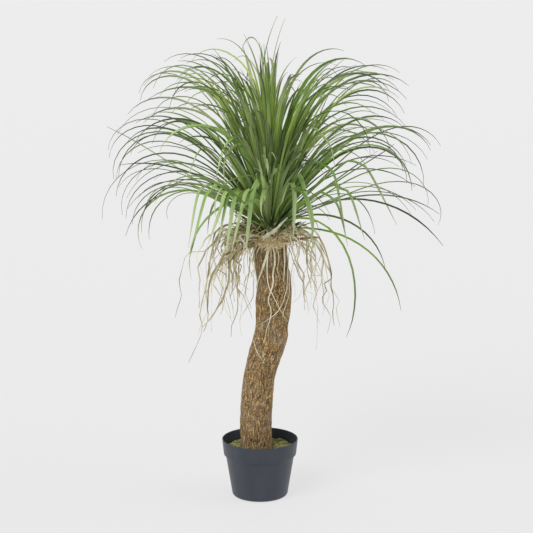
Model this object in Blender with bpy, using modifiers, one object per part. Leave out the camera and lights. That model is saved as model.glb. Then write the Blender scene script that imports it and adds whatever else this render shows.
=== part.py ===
# Potted grass tree: a tapered nursery pot, its soil and moss, a bent trunk,
# a skirt of dry leaf strips under the head, and a head of arching strap leaves.
# Metres, +Z up. The origin is the centre of the pot's flat base.
# X runs to the right and Y away from the side the plant is usually seen from.

import math
import random

import bmesh
import bpy
import numpy as np
from mathutils import Matrix, Vector, noise

# Clearance between pieces that rest on or in each other
FIT_GAP = 0.0003

# Pot
POT_HEIGHT = 0.122
POT_RIM_RADIUS = 0.079
POT_WALL = 0.002
POT_FLOOR = 0.003
POT_SIDES = 42
BAND_HEIGHT = 0.033
BAND_FOOT_RADIUS = 0.0757
BAND_BEVEL = 0.001
BODY_TOP_RADIUS = 0.0714
BODY_FOOT_RADIUS = 0.0585
BASE_FILLET = 0.007

# Soil, with a plain round hole that the trunk's foot stands in
SOIL_TOP = 0.0965
HOLE_FLOOR = 0.030

# Moss that covers the soil
MOSS_THICKNESS = 0.0045
MOSS_RELIEF = 0.0028
MOSS_LUMPS_PER_METRE = 60
MOSS_SIDES = 44

# Trunk
FOOT_RADIUS = 0.0322
FOOT_X = -0.0075
BARK_START = 0.104
TRUNK_TOP = 0.550
TRUNK_SIDES = 24
TRUNK_RINGS = 33
BARK_RELIEF = 0.0011
BARK_RINGS_PER_METRE = 30
# Height, sideways place of the centre, and diameter
TRUNK_STATIONS = (
    (0.104, -0.0075, 0.0644),
    (0.170, -0.0081, 0.0660),
    (0.2365, -0.0036, 0.0650),
    (0.277, 0.0038, 0.0670),
    (0.305, 0.0122, 0.0710),
    (0.337, 0.0213, 0.0710),
    (0.3645, 0.0248, 0.0670),
    (0.400, 0.0274, 0.0720),
    (0.450, 0.0290, 0.0710),
    (0.499, 0.0228, 0.0680),
    (0.550, 0.0205, 0.0600),
)

# Head of leaves
HEAD_X = 0.021
HEAD_Z = 0.566
CORE_RADIUS = 0.030
CORE_SQUASH = 0.9
LEAF_WIDTH = 0.0108
LEAF_KEEL = 0.0015
LEAF_SEGMENTS = 5
LEAF_ROOT_DEPTH = 0.006
LEAF_TIP_WIDTH = 0.0014
# Shares of the full width at the root and of the length where the full width starts
LEAF_ROOT_SHARE = 0.42
LEAF_FULL_FROM = 0.25
LEAF_SEED = 5
LEAF_DRAWS = 8
LEAF_SPACING = 0.009
# Tufts in the tier, elevation of the tuft, leaves in a tuft, leaf length, droop, and
# how late along the leaf the droop comes
LEAF_TIERS = (
    (1, 88, 11, 0.350, 55, 3.4),
    (6, 76, 7, 0.415, 122, 3.0),
    (9, 60, 6, 0.385, 114, 2.6),
    (9, 42, 6, 0.340, 102, 2.1),
    (8, 24, 3, 0.285, 80, 1.7),
)
# How far leaves stray from their tuft, as standard deviations that are never passed
# by more than the given factor
MOST_STRAY = 1.6
TUFT_STRAY = {"azimuth": 8, "elevation": 4}
LEAF_STRAY = {
    "azimuth": 10,
    "elevation": 7.5,
    "droop": 14,
    "length": 0.055,
    "lateness": 0.3,
    "width": 0.1,
    "swing": 12,
    "roll": 16,
}
LOWEST_ELEVATION = 14
TIER_TURN = 40
# Leaves that stand out from the head: azimuth, elevation at the root and at the tip,
# length, how late the droop comes, and share of the common width
SINGLE_LEAVES = (
    (-50, 10, -110, 0.350, 1.0, 1.0),
    (-14, 4, -72, 0.325, 1.1, 0.8),
    (-4, 16, -76, 0.295, 1.4, 0.8),
    (2, 40, -66, 0.385, 1.9, 0.85),
    (-4, 24, -38, 0.330, 1.6, 0.85),
    (7, 20, -44, 0.345, 1.4, 0.85),
    (5, 95, 62, 0.413, 3.4, 0.4),
    (-10, 92, 66, 0.408, 3.0, 0.4),
    (175, 88, 58, 0.375, 4.0, 0.4),
    (182, 34, -94, 0.320, 2.0, 0.9),
    (190, 30, -90, 0.300, 2.0, 0.8),
    (205, 76, -98, 0.400, 1.5, 1.0),
    (222, 74, -98, 0.360, 1.4, 1.0),
    (236, 72, -98, 0.340, 1.4, 1.0),
    (256, 72, -104, 0.300, 1.5, 1.1),
    (270, 66, -100, 0.280, 1.4, 1.0),
    (290, 64, -98, 0.270, 1.5, 1.0),
    (304, 60, -92, 0.300, 1.5, 1.0),
    (322, 56, -84, 0.340, 1.6, 0.9),
)

# Skirt of dry strips
COLLAR_LOW = 0.533
COLLAR_HIGH = 0.5605
COLLAR_WIDTH = 0.0085
STRIP_SEED = 11
STRIP_COUNT = 54
STRIP_WIDTH = 0.0042
STRIP_THICKNESS = 0.0014
STRIP_SEGMENTS = 5
STRIP_DRAWS = 60
STRIP_LENGTHS = (0.12, 0.29)
GOLDEN_ANGLE = 137.5
# In degrees: how steeply a close and a wide strip leave the collar, how far that
# strays, the direction in which they all end, and the kink at each ring
STRIP_START = (-40, -10)
STRIP_STRAY = 12
STRIP_END = -92
STRIP_KINK = 15
TRUNK_CLEARANCE = 0.004
LEAF_CLEARANCE = 0.0085


def principled(name, colour, roughness, metallic=0.0):
    made = bpy.data.materials.new(name)
    made.use_nodes = True
    made.diffuse_color = (*colour, 1)
    shader = made.node_tree.nodes["Principled BSDF"]
    shader.inputs["Base Color"].default_value = (*colour, 1)
    shader.inputs["Roughness"].default_value = roughness
    shader.inputs["Metallic"].default_value = metallic
    return made


def new_object(name, mesh, collection):
    made = bpy.data.objects.new(name, mesh)
    collection.objects.link(made)
    return made


def apply_modifiers(obj):
    graph = bpy.context.evaluated_depsgraph_get()
    mesh = bpy.data.meshes.new_from_object(obj.evaluated_get(graph))
    old = obj.data
    obj.modifiers.clear()
    obj.data = mesh
    bpy.data.meshes.remove(old)


def turned(name, profile, sides, collection, closed=False):
    # Turns (radius, height) points about Z. They run down the outer side.
    mesh = bpy.data.meshes.new(name)
    edges = [(i, i + 1) for i in range(len(profile) - 1)]
    if closed:
        edges.append((len(profile) - 1, 0))
    mesh.from_pydata([(r, 0, z) for r, z in profile], edges, [])
    obj = new_object(name, mesh, collection)
    screw = obj.modifiers.new("Turn", "SCREW")
    screw.steps = sides
    screw.render_steps = sides
    screw.use_merge_vertices = True
    screw.merge_threshold = 0.00001
    return obj


def shade_round(obj, angle=40):
    obj.data.shade_smooth()
    obj.data.set_sharp_from_angle(angle=math.radians(angle))


def smooth(share):
    share = max(0.0, min(1.0, share))
    return share * share * (3 - 2 * share)


# Pot


def pot_outer_profile():
    band_foot = POT_HEIGHT - BAND_HEIGHT
    points = [
        (POT_RIM_RADIUS - 0.0006, POT_HEIGHT),
        (POT_RIM_RADIUS, POT_HEIGHT - 0.0008),
        (BAND_FOOT_RADIUS, band_foot + BAND_BEVEL),
        (BAND_FOOT_RADIUS - BAND_BEVEL, band_foot),
        (BODY_TOP_RADIUS, band_foot - BAND_BEVEL),
    ]
    for step in range(5):
        turn = math.radians(90 * step / 4)
        points.append(
            (
                BODY_FOOT_RADIUS - BASE_FILLET * (1 - math.cos(turn)),
                BASE_FILLET * (1 - math.sin(turn)),
            )
        )
    return points


def pot_inner_profile():
    # From the middle of the floor out and up to the rim
    band_foot = POT_HEIGHT - BAND_HEIGHT
    return [
        (BODY_FOOT_RADIUS - BASE_FILLET, POT_FLOOR),
        (BODY_FOOT_RADIUS - POT_WALL, POT_FLOOR + 0.6 * BASE_FILLET),
        (BODY_TOP_RADIUS - POT_WALL, band_foot - BAND_BEVEL),
        (BAND_FOOT_RADIUS - POT_WALL, band_foot + BAND_BEVEL),
        (POT_RIM_RADIUS - POT_WALL, POT_HEIGHT),
    ]


def make_pot(collection, finish):
    profile = [(0, POT_FLOOR)] + pot_inner_profile() + pot_outer_profile() + [(0, 0)]
    pot = turned("pot", profile, POT_SIDES, collection)
    apply_modifiers(pot)
    shade_round(pot)
    pot.data.materials.append(finish)
    return pot


def inner_wall_radius(height):
    points = pot_inner_profile()
    for (r0, z0), (r1, z1) in zip(points, points[1:]):
        if z0 <= height <= z1:
            return r0 + (r1 - r0) * (height - z0) / (z1 - z0)
    return points[-1][0]


# Soil and moss


def make_soil(collection, cutters, finish):
    walls = [(r - FIT_GAP, z) for r, z in pot_inner_profile() if z < SOIL_TOP]
    walls[0] = (walls[0][0], POT_FLOOR + FIT_GAP)
    top_radius = inner_wall_radius(SOIL_TOP) - FIT_GAP
    profile = [(0, SOIL_TOP), (top_radius, SOIL_TOP)] + walls[::-1] + [(0, POT_FLOOR + FIT_GAP)]
    soil = turned("soil", profile, POT_SIDES, collection)
    apply_modifiers(soil)

    hole = new_object("trunk_hole", bpy.data.meshes.new("trunk_hole"), cutters)
    shape = bmesh.new()
    depth = POT_HEIGHT - HOLE_FLOOR
    bmesh.ops.create_cone(
        shape,
        cap_ends=True,
        segments=POT_SIDES,
        radius1=FOOT_RADIUS + FIT_GAP,
        radius2=FOOT_RADIUS + FIT_GAP,
        depth=depth,
        matrix=Matrix.Translation((FOOT_X, 0, HOLE_FLOOR + depth / 2)),
    )
    shape.to_mesh(hole.data)
    shape.free()
    hole.hide_render = True
    hole.display_type = "WIRE"
    cut = soil.modifiers.new("Trunk hole", "BOOLEAN")
    cut.operation = "DIFFERENCE"
    cut.object = hole
    shade_round(soil)
    soil.data.materials.append(finish)
    return soil


def make_moss(collection, finish):
    # A ring whose inner edge goes round the trunk and whose outer edge meets the pot.
    # It is turned with radii 1 to 2, which are then spread between those two edges.
    low = SOIL_TOP + FIT_GAP
    high = low + MOSS_THICKNESS
    across = (1.0, 1.12, 1.3, 1.48, 1.66, 1.84, 1.96)
    profile = [(r, high) for r in across]
    profile += [(2.0, low + 0.4 * MOSS_THICKNESS), (2.0, low), (1.0, low)]
    moss = turned("moss", profile, MOSS_SIDES, collection, closed=True)
    apply_modifiers(moss)
    inner = FOOT_RADIUS + FIT_GAP
    outer = inner_wall_radius(low) - 2 * FIT_GAP
    for vertex in moss.data.vertices:
        x, y, z = vertex.co
        radius = math.hypot(x, y)
        out = Vector((x / radius, y / radius, 0))
        share = radius - 1
        place = (Vector((FOOT_X, 0, 0)) + inner * out).lerp(outer * out, share)
        if radius < 1.98 and z > low + MOSS_THICKNESS / 2:
            coarse = noise.noise(place * MOSS_LUMPS_PER_METRE)
            fine = noise.noise(place * 2.3 * MOSS_LUMPS_PER_METRE)
            z += MOSS_RELIEF * (coarse + fine / 2) * smooth(share / 0.15)
        vertex.co = (place.x, place.y, z)
    shade_round(moss)
    moss.data.materials.append(finish)
    return moss


# Trunk


def trunk_at(height):
    # Sideways centre and radius at a height, eased between the stations
    if height <= TRUNK_STATIONS[0][0]:
        return TRUNK_STATIONS[0][1], TRUNK_STATIONS[0][2] / 2
    if height >= TRUNK_STATIONS[-1][0]:
        return TRUNK_STATIONS[-1][1], TRUNK_STATIONS[-1][2] / 2
    for i in range(len(TRUNK_STATIONS) - 1):
        z0, z1 = TRUNK_STATIONS[i][0], TRUNK_STATIONS[i + 1][0]
        if z0 <= height <= z1:
            break
    share = (height - z0) / (z1 - z0)
    before = TRUNK_STATIONS[max(0, i - 1)]
    after = TRUNK_STATIONS[min(len(TRUNK_STATIONS) - 1, i + 2)]
    values = []
    for part in (1, 2):
        a, b = TRUNK_STATIONS[i][part], TRUNK_STATIONS[i + 1][part]
        slope_a = (b - before[part]) / (z1 - before[0]) * (z1 - z0)
        slope_b = (after[part] - a) / (after[0] - z0) * (z1 - z0)
        values.append(
            (2 * share**3 - 3 * share**2 + 1) * a
            + (share**3 - 2 * share**2 + share) * slope_a
            + (3 * share**2 - 2 * share**3) * b
            + (share**3 - share**2) * slope_b
        )
    return values[0], values[1] / 2


def make_trunk(collection, finish):
    foot = HOLE_FLOOR + FIT_GAP
    heights = [
        BARK_START + (TRUNK_TOP - BARK_START) * i / TRUNK_RINGS for i in range(TRUNK_RINGS + 1)
    ]
    profile = [(0, TRUNK_TOP)] + [(1, z) for z in reversed(heights)] + [(1, foot), (0, foot)]
    trunk = turned("trunk", profile, TRUNK_SIDES, collection)
    apply_modifiers(trunk)
    for vertex in trunk.data.vertices:
        x, y, z = vertex.co
        centre, radius = trunk_at(z)
        fade = smooth((z - BARK_START) / 0.02) * smooth((TRUNK_TOP - z) / 0.03)
        grain = noise.noise(Vector((2.2 * x, 2.2 * y, BARK_RINGS_PER_METRE * z)))
        knots = noise.noise(Vector((1.1 * x, 1.1 * y, 1.8 * BARK_RINGS_PER_METRE * z + 7)))
        swell = 1 + fade * BARK_RELIEF * (grain + knots) / radius
        vertex.co = (centre + x * radius * swell, y * radius * swell, z)
    shade_round(trunk)
    trunk.data.materials.append(finish)
    return trunk


# Leaves


def direction(azimuth, elevation):
    a = math.radians(azimuth)
    e = math.radians(elevation)
    return Vector((math.cos(e) * math.cos(a), math.cos(e) * math.sin(a), math.sin(e)))


def new_leaf(azimuth, elevation, end, length, lateness, width, swing=0.0, roll=0.0):
    out = direction(azimuth, elevation)
    root = Vector((HEAD_X, 0, HEAD_Z))
    root += Vector((out.x, out.y, CORE_SQUASH * out.z)) * CORE_RADIUS
    return {
        "azimuth": azimuth,
        "elevation": elevation,
        "end": end,
        "length": length,
        "lateness": lateness,
        "width": width,
        "swing": swing,
        "roll": roll,
        "root": root,
    }


def leaf_angles(leaf, share):
    droop = (leaf["end"] - leaf["elevation"]) * share ** leaf["lateness"]
    return leaf["azimuth"] + leaf["swing"] * share**2, leaf["elevation"] + droop


def leaf_places(leaf, shares, steps=24):
    # Places along the leaf's middle line at the given shares of its length
    fine = [leaf["root"]]
    for i in range(steps):
        azimuth, elevation = leaf_angles(leaf, (i + 0.5) / steps)
        fine.append(fine[-1] + direction(azimuth, elevation) * (leaf["length"] / steps))
    places = []
    for share in shares:
        index = min(int(share * steps), steps - 1)
        places.append(fine[index].lerp(fine[index + 1], share * steps - index))
    return places


def leaf_width(leaf, share):
    root = LEAF_ROOT_SHARE + (1 - LEAF_ROOT_SHARE) * min(1.0, share / LEAF_FULL_FROM)
    tip = min(1.0, 1.6 * max(0.0, 1 - share) ** 0.9)
    return max(LEAF_TIP_WIDTH, leaf["width"] * root * tip)


def tuft_leaf(rng, tuft_azimuth, tuft_elevation, tier):
    length, droop, lateness = tier[3:]
    stray = {}
    for name, spread in LEAF_STRAY.items():
        stray[name] = spread * max(-MOST_STRAY, min(MOST_STRAY, rng.gauss(0, 1)))
    elevation = max(LOWEST_ELEVATION, tuft_elevation + stray["elevation"])
    spread = max(0.3, math.cos(math.radians(min(elevation, 80))))
    azimuth = tuft_azimuth + stray["azimuth"] / spread
    if elevation > 90:
        elevation = 180 - elevation
        azimuth += 180
    return new_leaf(
        azimuth,
        elevation,
        elevation - droop - stray["droop"],
        length * (1 + stray["length"]),
        lateness + stray["lateness"],
        LEAF_WIDTH * (1 + stray["width"]),
        stray["swing"],
        stray["roll"],
    )


def grow_leaves():
    # Each leaf is drawn a few times, and the draw that lies clearest of the others is kept
    rng = random.Random(LEAF_SEED)
    leaves = [
        new_leaf(a, e, end, length, late, share * LEAF_WIDTH)
        for a, e, end, length, late, share in SINGLE_LEAVES
    ]
    shares = [0.14 + 0.86 * i / 20 for i in range(21)]
    taken = [tuple(p) for leaf in leaves for p in leaf_places(leaf, shares)]
    for number, tier in enumerate(LEAF_TIERS):
        tufts, elevation, count = tier[:3]
        for k in range(tufts):
            tuft_azimuth = 360 * k / tufts + TIER_TURN * number + rng.gauss(0, TUFT_STRAY["azimuth"])
            tuft_elevation = elevation + rng.gauss(0, TUFT_STRAY["elevation"])
            for _ in range(count):
                best, best_room = None, -1.0
                for _ in range(LEAF_DRAWS):
                    leaf = tuft_leaf(rng, tuft_azimuth, tuft_elevation, tier)
                    places = [tuple(p) for p in leaf_places(leaf, shares)]
                    apart = np.array(places)[:, None] - np.array(taken)[None]
                    room = float(np.sqrt((apart**2).sum(axis=2)).min())
                    if room > best_room:
                        best, best_room, best_places = leaf, room, places
                    if room > LEAF_SPACING:
                        break
                leaves.append(best)
                taken.extend(best_places)
    return leaves


def strip_template(segments):
    # A three-sided prism, one unit high for each segment, with its keel on +Y
    shape = bmesh.new()
    bmesh.ops.create_cone(
        shape,
        cap_ends=True,
        segments=3,
        radius1=1,
        radius2=1,
        depth=segments,
        matrix=Matrix.Translation((0, 0, segments / 2)),
    )
    for level in range(1, segments):
        parts = shape.verts[:] + shape.edges[:] + shape.faces[:]
        bmesh.ops.bisect_plane(shape, geom=parts, plane_co=(0, 0, level), plane_no=(0, 0, 1))
    bmesh.ops.triangulate(shape, faces=shape.faces[:])
    mesh = bpy.data.meshes.new("strip")
    shape.to_mesh(mesh)
    shape.free()
    return mesh


def lay_strip(template, name, stations, collection):
    # Stations hold place, sideways direction, upward normal, width and keel depth
    mesh = template.copy()
    for vertex in mesh.vertices:
        x, y, z = vertex.co
        place, side, up, width, keel = stations[round(z)]
        if y > 0.7:
            vertex.co = place - up * keel
        else:
            vertex.co = place - side * math.copysign(width / 2, x)
    return new_object(name, mesh, collection)


def leaf_stations(leaf):
    # The rings come closer together where a late droop bends the leaf most
    crowding = 1 / (1 + 0.5 * (leaf["lateness"] - 1))
    shares = [(i / LEAF_SEGMENTS) ** crowding for i in range(LEAF_SEGMENTS + 1)]
    stations = []
    for share, place in zip(shares, leaf_places(leaf, shares)):
        azimuth, elevation = leaf_angles(leaf, share)
        ahead = direction(azimuth, elevation)
        level = direction(azimuth + 90, 0)
        roll = math.radians(leaf["roll"])
        side = level * math.cos(roll) + ahead.cross(level) * math.sin(roll)
        up = ahead.cross(side)
        if share == 0:
            place = place - ahead * LEAF_ROOT_DEPTH
        width = leaf_width(leaf, share)
        keel = LEAF_KEEL * (0.55 + 0.45 * width / LEAF_WIDTH)
        stations.append((place, side, up, width, keel))
    return stations


def union(base, pieces):
    join = base.modifiers.new("Join", "BOOLEAN")
    join.operation = "UNION"
    join.solver = "MANIFOLD"
    join.operand_type = "COLLECTION"
    join.collection = pieces
    apply_modifiers(base)
    for piece in list(pieces.objects):
        bpy.data.objects.remove(piece)


def make_leaf_head(leaves, collection, pieces, finish):
    # A low dome of leaf bases that the leaves stand out of, flat where it meets the trunk
    head = new_object("leaf_head", bpy.data.meshes.new("leaf_head"), collection)
    shape = bmesh.new()
    bmesh.ops.create_uvsphere(shape, u_segments=20, v_segments=10, radius=CORE_RADIUS)
    bmesh.ops.scale(shape, vec=(1, 1, CORE_SQUASH), verts=shape.verts[:])
    bmesh.ops.translate(shape, vec=(HEAD_X, 0, HEAD_Z), verts=shape.verts[:])
    cut = bmesh.ops.bisect_plane(
        shape,
        geom=shape.verts[:] + shape.edges[:] + shape.faces[:],
        plane_co=(0, 0, TRUNK_TOP + FIT_GAP),
        plane_no=(0, 0, 1),
        clear_inner=True,
    )
    rim = [part for part in cut["geom_cut"] if isinstance(part, bmesh.types.BMEdge)]
    bmesh.ops.contextual_create(shape, geom=rim)
    bmesh.ops.recalc_face_normals(shape, faces=shape.faces[:])
    shape.to_mesh(head.data)
    shape.free()
    template = strip_template(LEAF_SEGMENTS)
    for number, leaf in enumerate(leaves):
        lay_strip(template, f"leaf_{number:03d}", leaf_stations(leaf), pieces)
    union(head, pieces)
    head.data.materials.append(finish)
    return head


# Skirt of dry strips


def strip_course(rng, number):
    # A strip leaves the collar, bows out and hangs down with a kink at every ring
    azimuth = GOLDEN_ANGLE * number + rng.gauss(0, 9)
    spread = rng.uniform(0.0, 1.0)
    length = rng.uniform(*STRIP_LENGTHS)
    start = STRIP_START[0] + (STRIP_START[1] - STRIP_START[0]) * spread
    start += rng.gauss(0, STRIP_STRAY)
    lateness = 0.35 + 0.5 * spread
    collar_x = trunk_at(COLLAR_LOW)[0]
    height = rng.uniform(COLLAR_LOW + 0.006, COLLAR_HIGH - 0.006)
    out = direction(azimuth, 0)
    ring = trunk_at(height)[1] + FIT_GAP + 0.4 * COLLAR_WIDTH
    places = [Vector((collar_x, 0, height)) + out * ring]
    aheads = []
    for i in range(STRIP_SEGMENTS):
        share = (i + 0.5) / STRIP_SEGMENTS
        elevation = start + (STRIP_END - start) * share**lateness + rng.gauss(0, STRIP_KINK)
        bend = azimuth + rng.gauss(0, STRIP_KINK) * (0.6 + 1.2 * share)
        ahead = direction(bend, elevation)
        places.append(places[-1] + ahead * (length / STRIP_SEGMENTS))
        aheads.append(ahead)
    return places, aheads, azimuth


def is_clear(places, leaf_points):
    for start, end in zip(places[1:], places[2:]):
        for step in range(4):
            point = start.lerp(end, step / 3)
            centre, radius = trunk_at(point.z)
            if math.hypot(point.x - centre, point.y) < radius + TRUNK_CLEARANCE:
                return False
            apart = leaf_points - np.array(point)
            if (apart**2).sum(axis=1).min() < LEAF_CLEARANCE**2:
                return False
    return True


def strip_stations(places, aheads, azimuth, rng):
    stations = []
    turn = rng.uniform(-50, 50)
    width = STRIP_WIDTH * rng.uniform(0.6, 1.5)
    for i, place in enumerate(places):
        share = i / STRIP_SEGMENTS
        ahead = aheads[min(i, len(aheads) - 1)]
        if 0 < i < len(aheads):
            ahead = (aheads[i - 1] + aheads[i]).normalized()
        side = ahead.cross(direction(azimuth + turn, 20)).normalized()
        up = ahead.cross(side)
        taper = 1 - 0.65 * share
        stations.append((place, side, up, width * taper, STRIP_THICKNESS * (1 - 0.3 * share)))
    return stations


def make_skirt(leaves, collection, pieces, finish):
    # A wad of strip ends goes round the top of the trunk
    low, high = COLLAR_LOW, COLLAR_HIGH
    swell = (0.55, 1.0, 0.85, 0.45)
    outer = [(1 + s, high - (high - low) * i / 3) for i, s in enumerate(swell)]
    profile = [(1.0, high)] + outer + [(1.0, low)]
    skirt = turned("dry_skirt", profile, TRUNK_SIDES, collection, closed=True)
    apply_modifiers(skirt)
    collar_x = trunk_at(COLLAR_LOW)[0]
    hole = max(trunk_at(z)[1] + abs(trunk_at(z)[0] - collar_x) for z in (low, (low + high) / 2))
    hole += 2 * FIT_GAP
    for vertex in skirt.data.vertices:
        x, y, z = vertex.co
        radius = math.hypot(x, y)
        out = Vector((x / radius, y / radius, 0))
        lump = 0.35 * noise.noise(Vector((2 * out.x, 2 * out.y, 90 * z)))
        place = out * (hole + COLLAR_WIDTH * (radius - 1) * (1 + lump))
        vertex.co = (collar_x + place.x, place.y, z)

    shares = [i / 30 for i in range(31)]
    leaf_points = np.array([tuple(p) for leaf in leaves for p in leaf_places(leaf, shares)])
    rng = random.Random(STRIP_SEED)
    template = strip_template(STRIP_SEGMENTS)
    for number in range(STRIP_COUNT):
        for _ in range(STRIP_DRAWS):
            places, aheads, azimuth = strip_course(rng, number)
            if is_clear(places, leaf_points):
                stations = strip_stations(places, aheads, azimuth, rng)
                lay_strip(template, f"strip_{number:02d}", stations, pieces)
                break
    union(skirt, pieces)
    skirt.data.materials.append(finish)
    return skirt


def main():
    for old in list(bpy.data.objects):
        bpy.data.objects.remove(old)
    scene = bpy.context.scene
    plant = bpy.data.collections.new("potted_grass_tree")
    cutters = bpy.data.collections.new("cutters")
    pieces = bpy.data.collections.new("strips_to_join")
    for group in (plant, cutters, pieces):
        scene.collection.children.link(group)

    slate = principled("slate_plastic", (0.075, 0.085, 0.100), 0.45)
    earth = principled("dark_soil", (0.035, 0.028, 0.022), 0.95)
    olive = principled("olive_moss", (0.050, 0.058, 0.022), 0.95)
    bark = principled("fibrous_bark", (0.200, 0.125, 0.055), 0.85)
    green = principled("strap_leaf", (0.070, 0.160, 0.045), 0.45)
    straw = principled("dry_leaf_strip", (0.520, 0.420, 0.270), 0.75)

    make_pot(plant, slate)
    make_soil(plant, cutters, earth)
    make_moss(plant, olive)
    make_trunk(plant, bark)
    leaves = grow_leaves()
    make_leaf_head(leaves, plant, pieces, green)
    make_skirt(leaves, plant, pieces, straw)
    bpy.data.collections.remove(pieces)


main()
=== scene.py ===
# Potted grass tree in its nursery pot: the dressed model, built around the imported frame.
# Metres, +Z up, the same origin as the frame: the centre of the pot's flat base.
import math
import random

import bpy
import numpy as np
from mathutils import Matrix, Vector, noise


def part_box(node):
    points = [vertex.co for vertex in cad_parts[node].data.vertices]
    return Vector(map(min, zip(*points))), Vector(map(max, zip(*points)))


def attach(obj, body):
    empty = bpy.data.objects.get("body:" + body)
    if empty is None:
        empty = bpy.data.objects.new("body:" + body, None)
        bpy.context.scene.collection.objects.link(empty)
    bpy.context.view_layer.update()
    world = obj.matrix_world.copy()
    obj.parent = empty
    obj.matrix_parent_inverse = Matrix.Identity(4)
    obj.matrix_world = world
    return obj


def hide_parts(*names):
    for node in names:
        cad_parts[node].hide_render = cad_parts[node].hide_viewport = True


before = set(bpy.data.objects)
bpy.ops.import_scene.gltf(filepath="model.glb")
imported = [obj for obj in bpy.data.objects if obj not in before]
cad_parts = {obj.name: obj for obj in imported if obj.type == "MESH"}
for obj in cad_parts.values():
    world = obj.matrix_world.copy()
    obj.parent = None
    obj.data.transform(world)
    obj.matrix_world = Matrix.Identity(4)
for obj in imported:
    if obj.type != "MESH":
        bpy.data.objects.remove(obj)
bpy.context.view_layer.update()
bpy.ops.object.select_all(action="DESELECT")
print("stage: frame loaded")

# Values shared by several pieces

stem = {  # height, sideways place and diameter of the trunk, and where it starts and ends
    "foot": 0.0303,
    "barkStart": 0.104,
    "top": 0.550,
    "stations": (
        (0.104, -0.0075, 0.0644),
        (0.170, -0.0081, 0.0660),
        (0.2365, -0.0036, 0.0650),
        (0.277, 0.0038, 0.0670),
        (0.305, 0.0122, 0.0710),
        (0.337, 0.0213, 0.0710),
        (0.3645, 0.0248, 0.0670),
        (0.400, 0.0274, 0.0720),
        (0.450, 0.0290, 0.0710),
        (0.499, 0.0228, 0.0680),
        (0.550, 0.0205, 0.0600),
    ),
}
# the low dome that the leaves grow from
hub = {"x": 0.021, "z": 0.566, "radius": 0.030, "squash": 0.9, "ridges": 18, "ridgeDepth": 0.0016}


def paint(hexCode):
    # sRGB hex to the linear colour that a socket takes
    parts = [int(hexCode[i : i + 2], 16) / 255 for i in (1, 3, 5)]
    return (*(p / 12.92 if p < 0.04045 else ((p + 0.055) / 1.055) ** 2.4 for p in parts), 1.0)


def startMaterial(name):
    material = bpy.data.materials.new(name)
    material.use_nodes = True
    material.node_tree.nodes.clear()
    return material


def addNode(material, kind, inputs=None, stops=(), span=(), **settings):
    # adds a node: a socket, or a node for its first output, is linked, and anything else is set as
    # the value; stops are a ramp's places and colours, a span is a map range's ends: from, to
    made = material.node_tree.nodes.new("ShaderNode" + kind)
    for name, value in settings.items():
        setattr(made, name, value)
    ends = dict(zip(("From Min", "From Max", "To Min", "To Max"), span))
    for name, value in {**(inputs or {}), **ends}.items():
        value = value.outputs[0] if isinstance(value, bpy.types.Node) else value
        if isinstance(value, bpy.types.NodeSocket):
            material.node_tree.links.new(value, made.inputs[name])
        else:
            made.inputs[name].default_value = value
    for number, (place, hexCode) in enumerate(stops):
        ramp = made.color_ramp.elements
        stop = ramp[number] if number < 2 else ramp.new(place)
        stop.position = place
        stop.color = paint(hexCode)
    return made


def finishMaterial(material, shader):
    addNode(material, "OutputMaterial", {"Surface": shader})
    return material


def selectOnly(pieces):
    bpy.ops.object.select_all(action="DESELECT")
    for piece in pieces:
        piece.select_set(True)
    bpy.context.view_layer.objects.active = pieces[0]


def editOnly(piece, mode):
    selectOnly([piece])
    bpy.ops.object.mode_set(mode="EDIT")
    bpy.ops.mesh.select_mode(type=mode)
    bpy.ops.mesh.select_all(action="SELECT")


def facesOut(piece):
    editOnly(piece, "FACE")
    bpy.ops.mesh.normals_make_consistent(inside=False)
    bpy.ops.object.mode_set(mode="OBJECT")


def finishPiece(piece, material, replaced, smoothAngle):
    # gives a piece its finish, says what it rides on, and hides the frame's node that it replaces
    selectOnly([piece])
    bpy.ops.object.transform_apply()
    piece.data.materials.clear()
    piece.data.materials.append(material)
    bpy.ops.object.shade_smooth_by_angle(angle=math.radians(smoothAngle))
    bpy.ops.object.select_all(action="DESELECT")
    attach(piece, "root")
    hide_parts(replaced)
    print("made:", piece.name, len(piece.data.polygons), "faces")
    return piece


def extrudeThrough(rings):
    # extrudes the selected ring and scales it, from one (radius, height) to the next
    for (radius, height), (nextRadius, nextHeight) in zip(rings, rings[1:]):
        bpy.ops.mesh.extrude_edges_move(TRANSFORM_OT_translate={"value": (0, 0, nextHeight - height)})
        grow = nextRadius / radius
        bpy.ops.transform.resize(value=(grow, grow, 1), center_override=(0, 0, nextHeight))


def riseInRings(name, sides, rings):
    # a filled circle whose rim is extruded and scaled through the other (radius, height) rings
    radius, height = rings[0]
    bpy.ops.mesh.primitive_circle_add(vertices=sides, radius=radius, fill_type="NGON", location=(0, 0, height))
    piece = bpy.context.object
    piece.name = name
    editOnly(piece, "EDGE")
    extrudeThrough(rings)
    bpy.ops.mesh.edge_face_add()
    bpy.ops.object.mode_set(mode="OBJECT")
    facesOut(piece)
    bpy.ops.object.transform_apply()
    return piece


def joinCopies(copies, name):
    selectOnly(copies)
    bpy.ops.object.join()
    piece = bpy.context.object
    piece.name = name
    return piece


def metres(millimetres):
    return [v / 1000 for v in millimetres]


def unit(value):
    return min(1.0, max(0.0, value))


def noiseAt(x, y, z, perMetre=1.0):
    return noise.noise(Vector((x, y, z)) * perMetre)


def curved(t, start, end, leave, arrive):
    # a cubic from start to end with the slopes leave and arrive
    eased = start + (end - start) * (3 * t**2 - 2 * t**3)
    return eased + leave * (t**3 - 2 * t**2 + t) + arrive * (t**3 - t**2)


def smooth(share):
    # 0 to 1 with a soft start and end
    share = unit(share)
    return share * share * (3 - 2 * share)


# Camera, floor and lights

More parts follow.
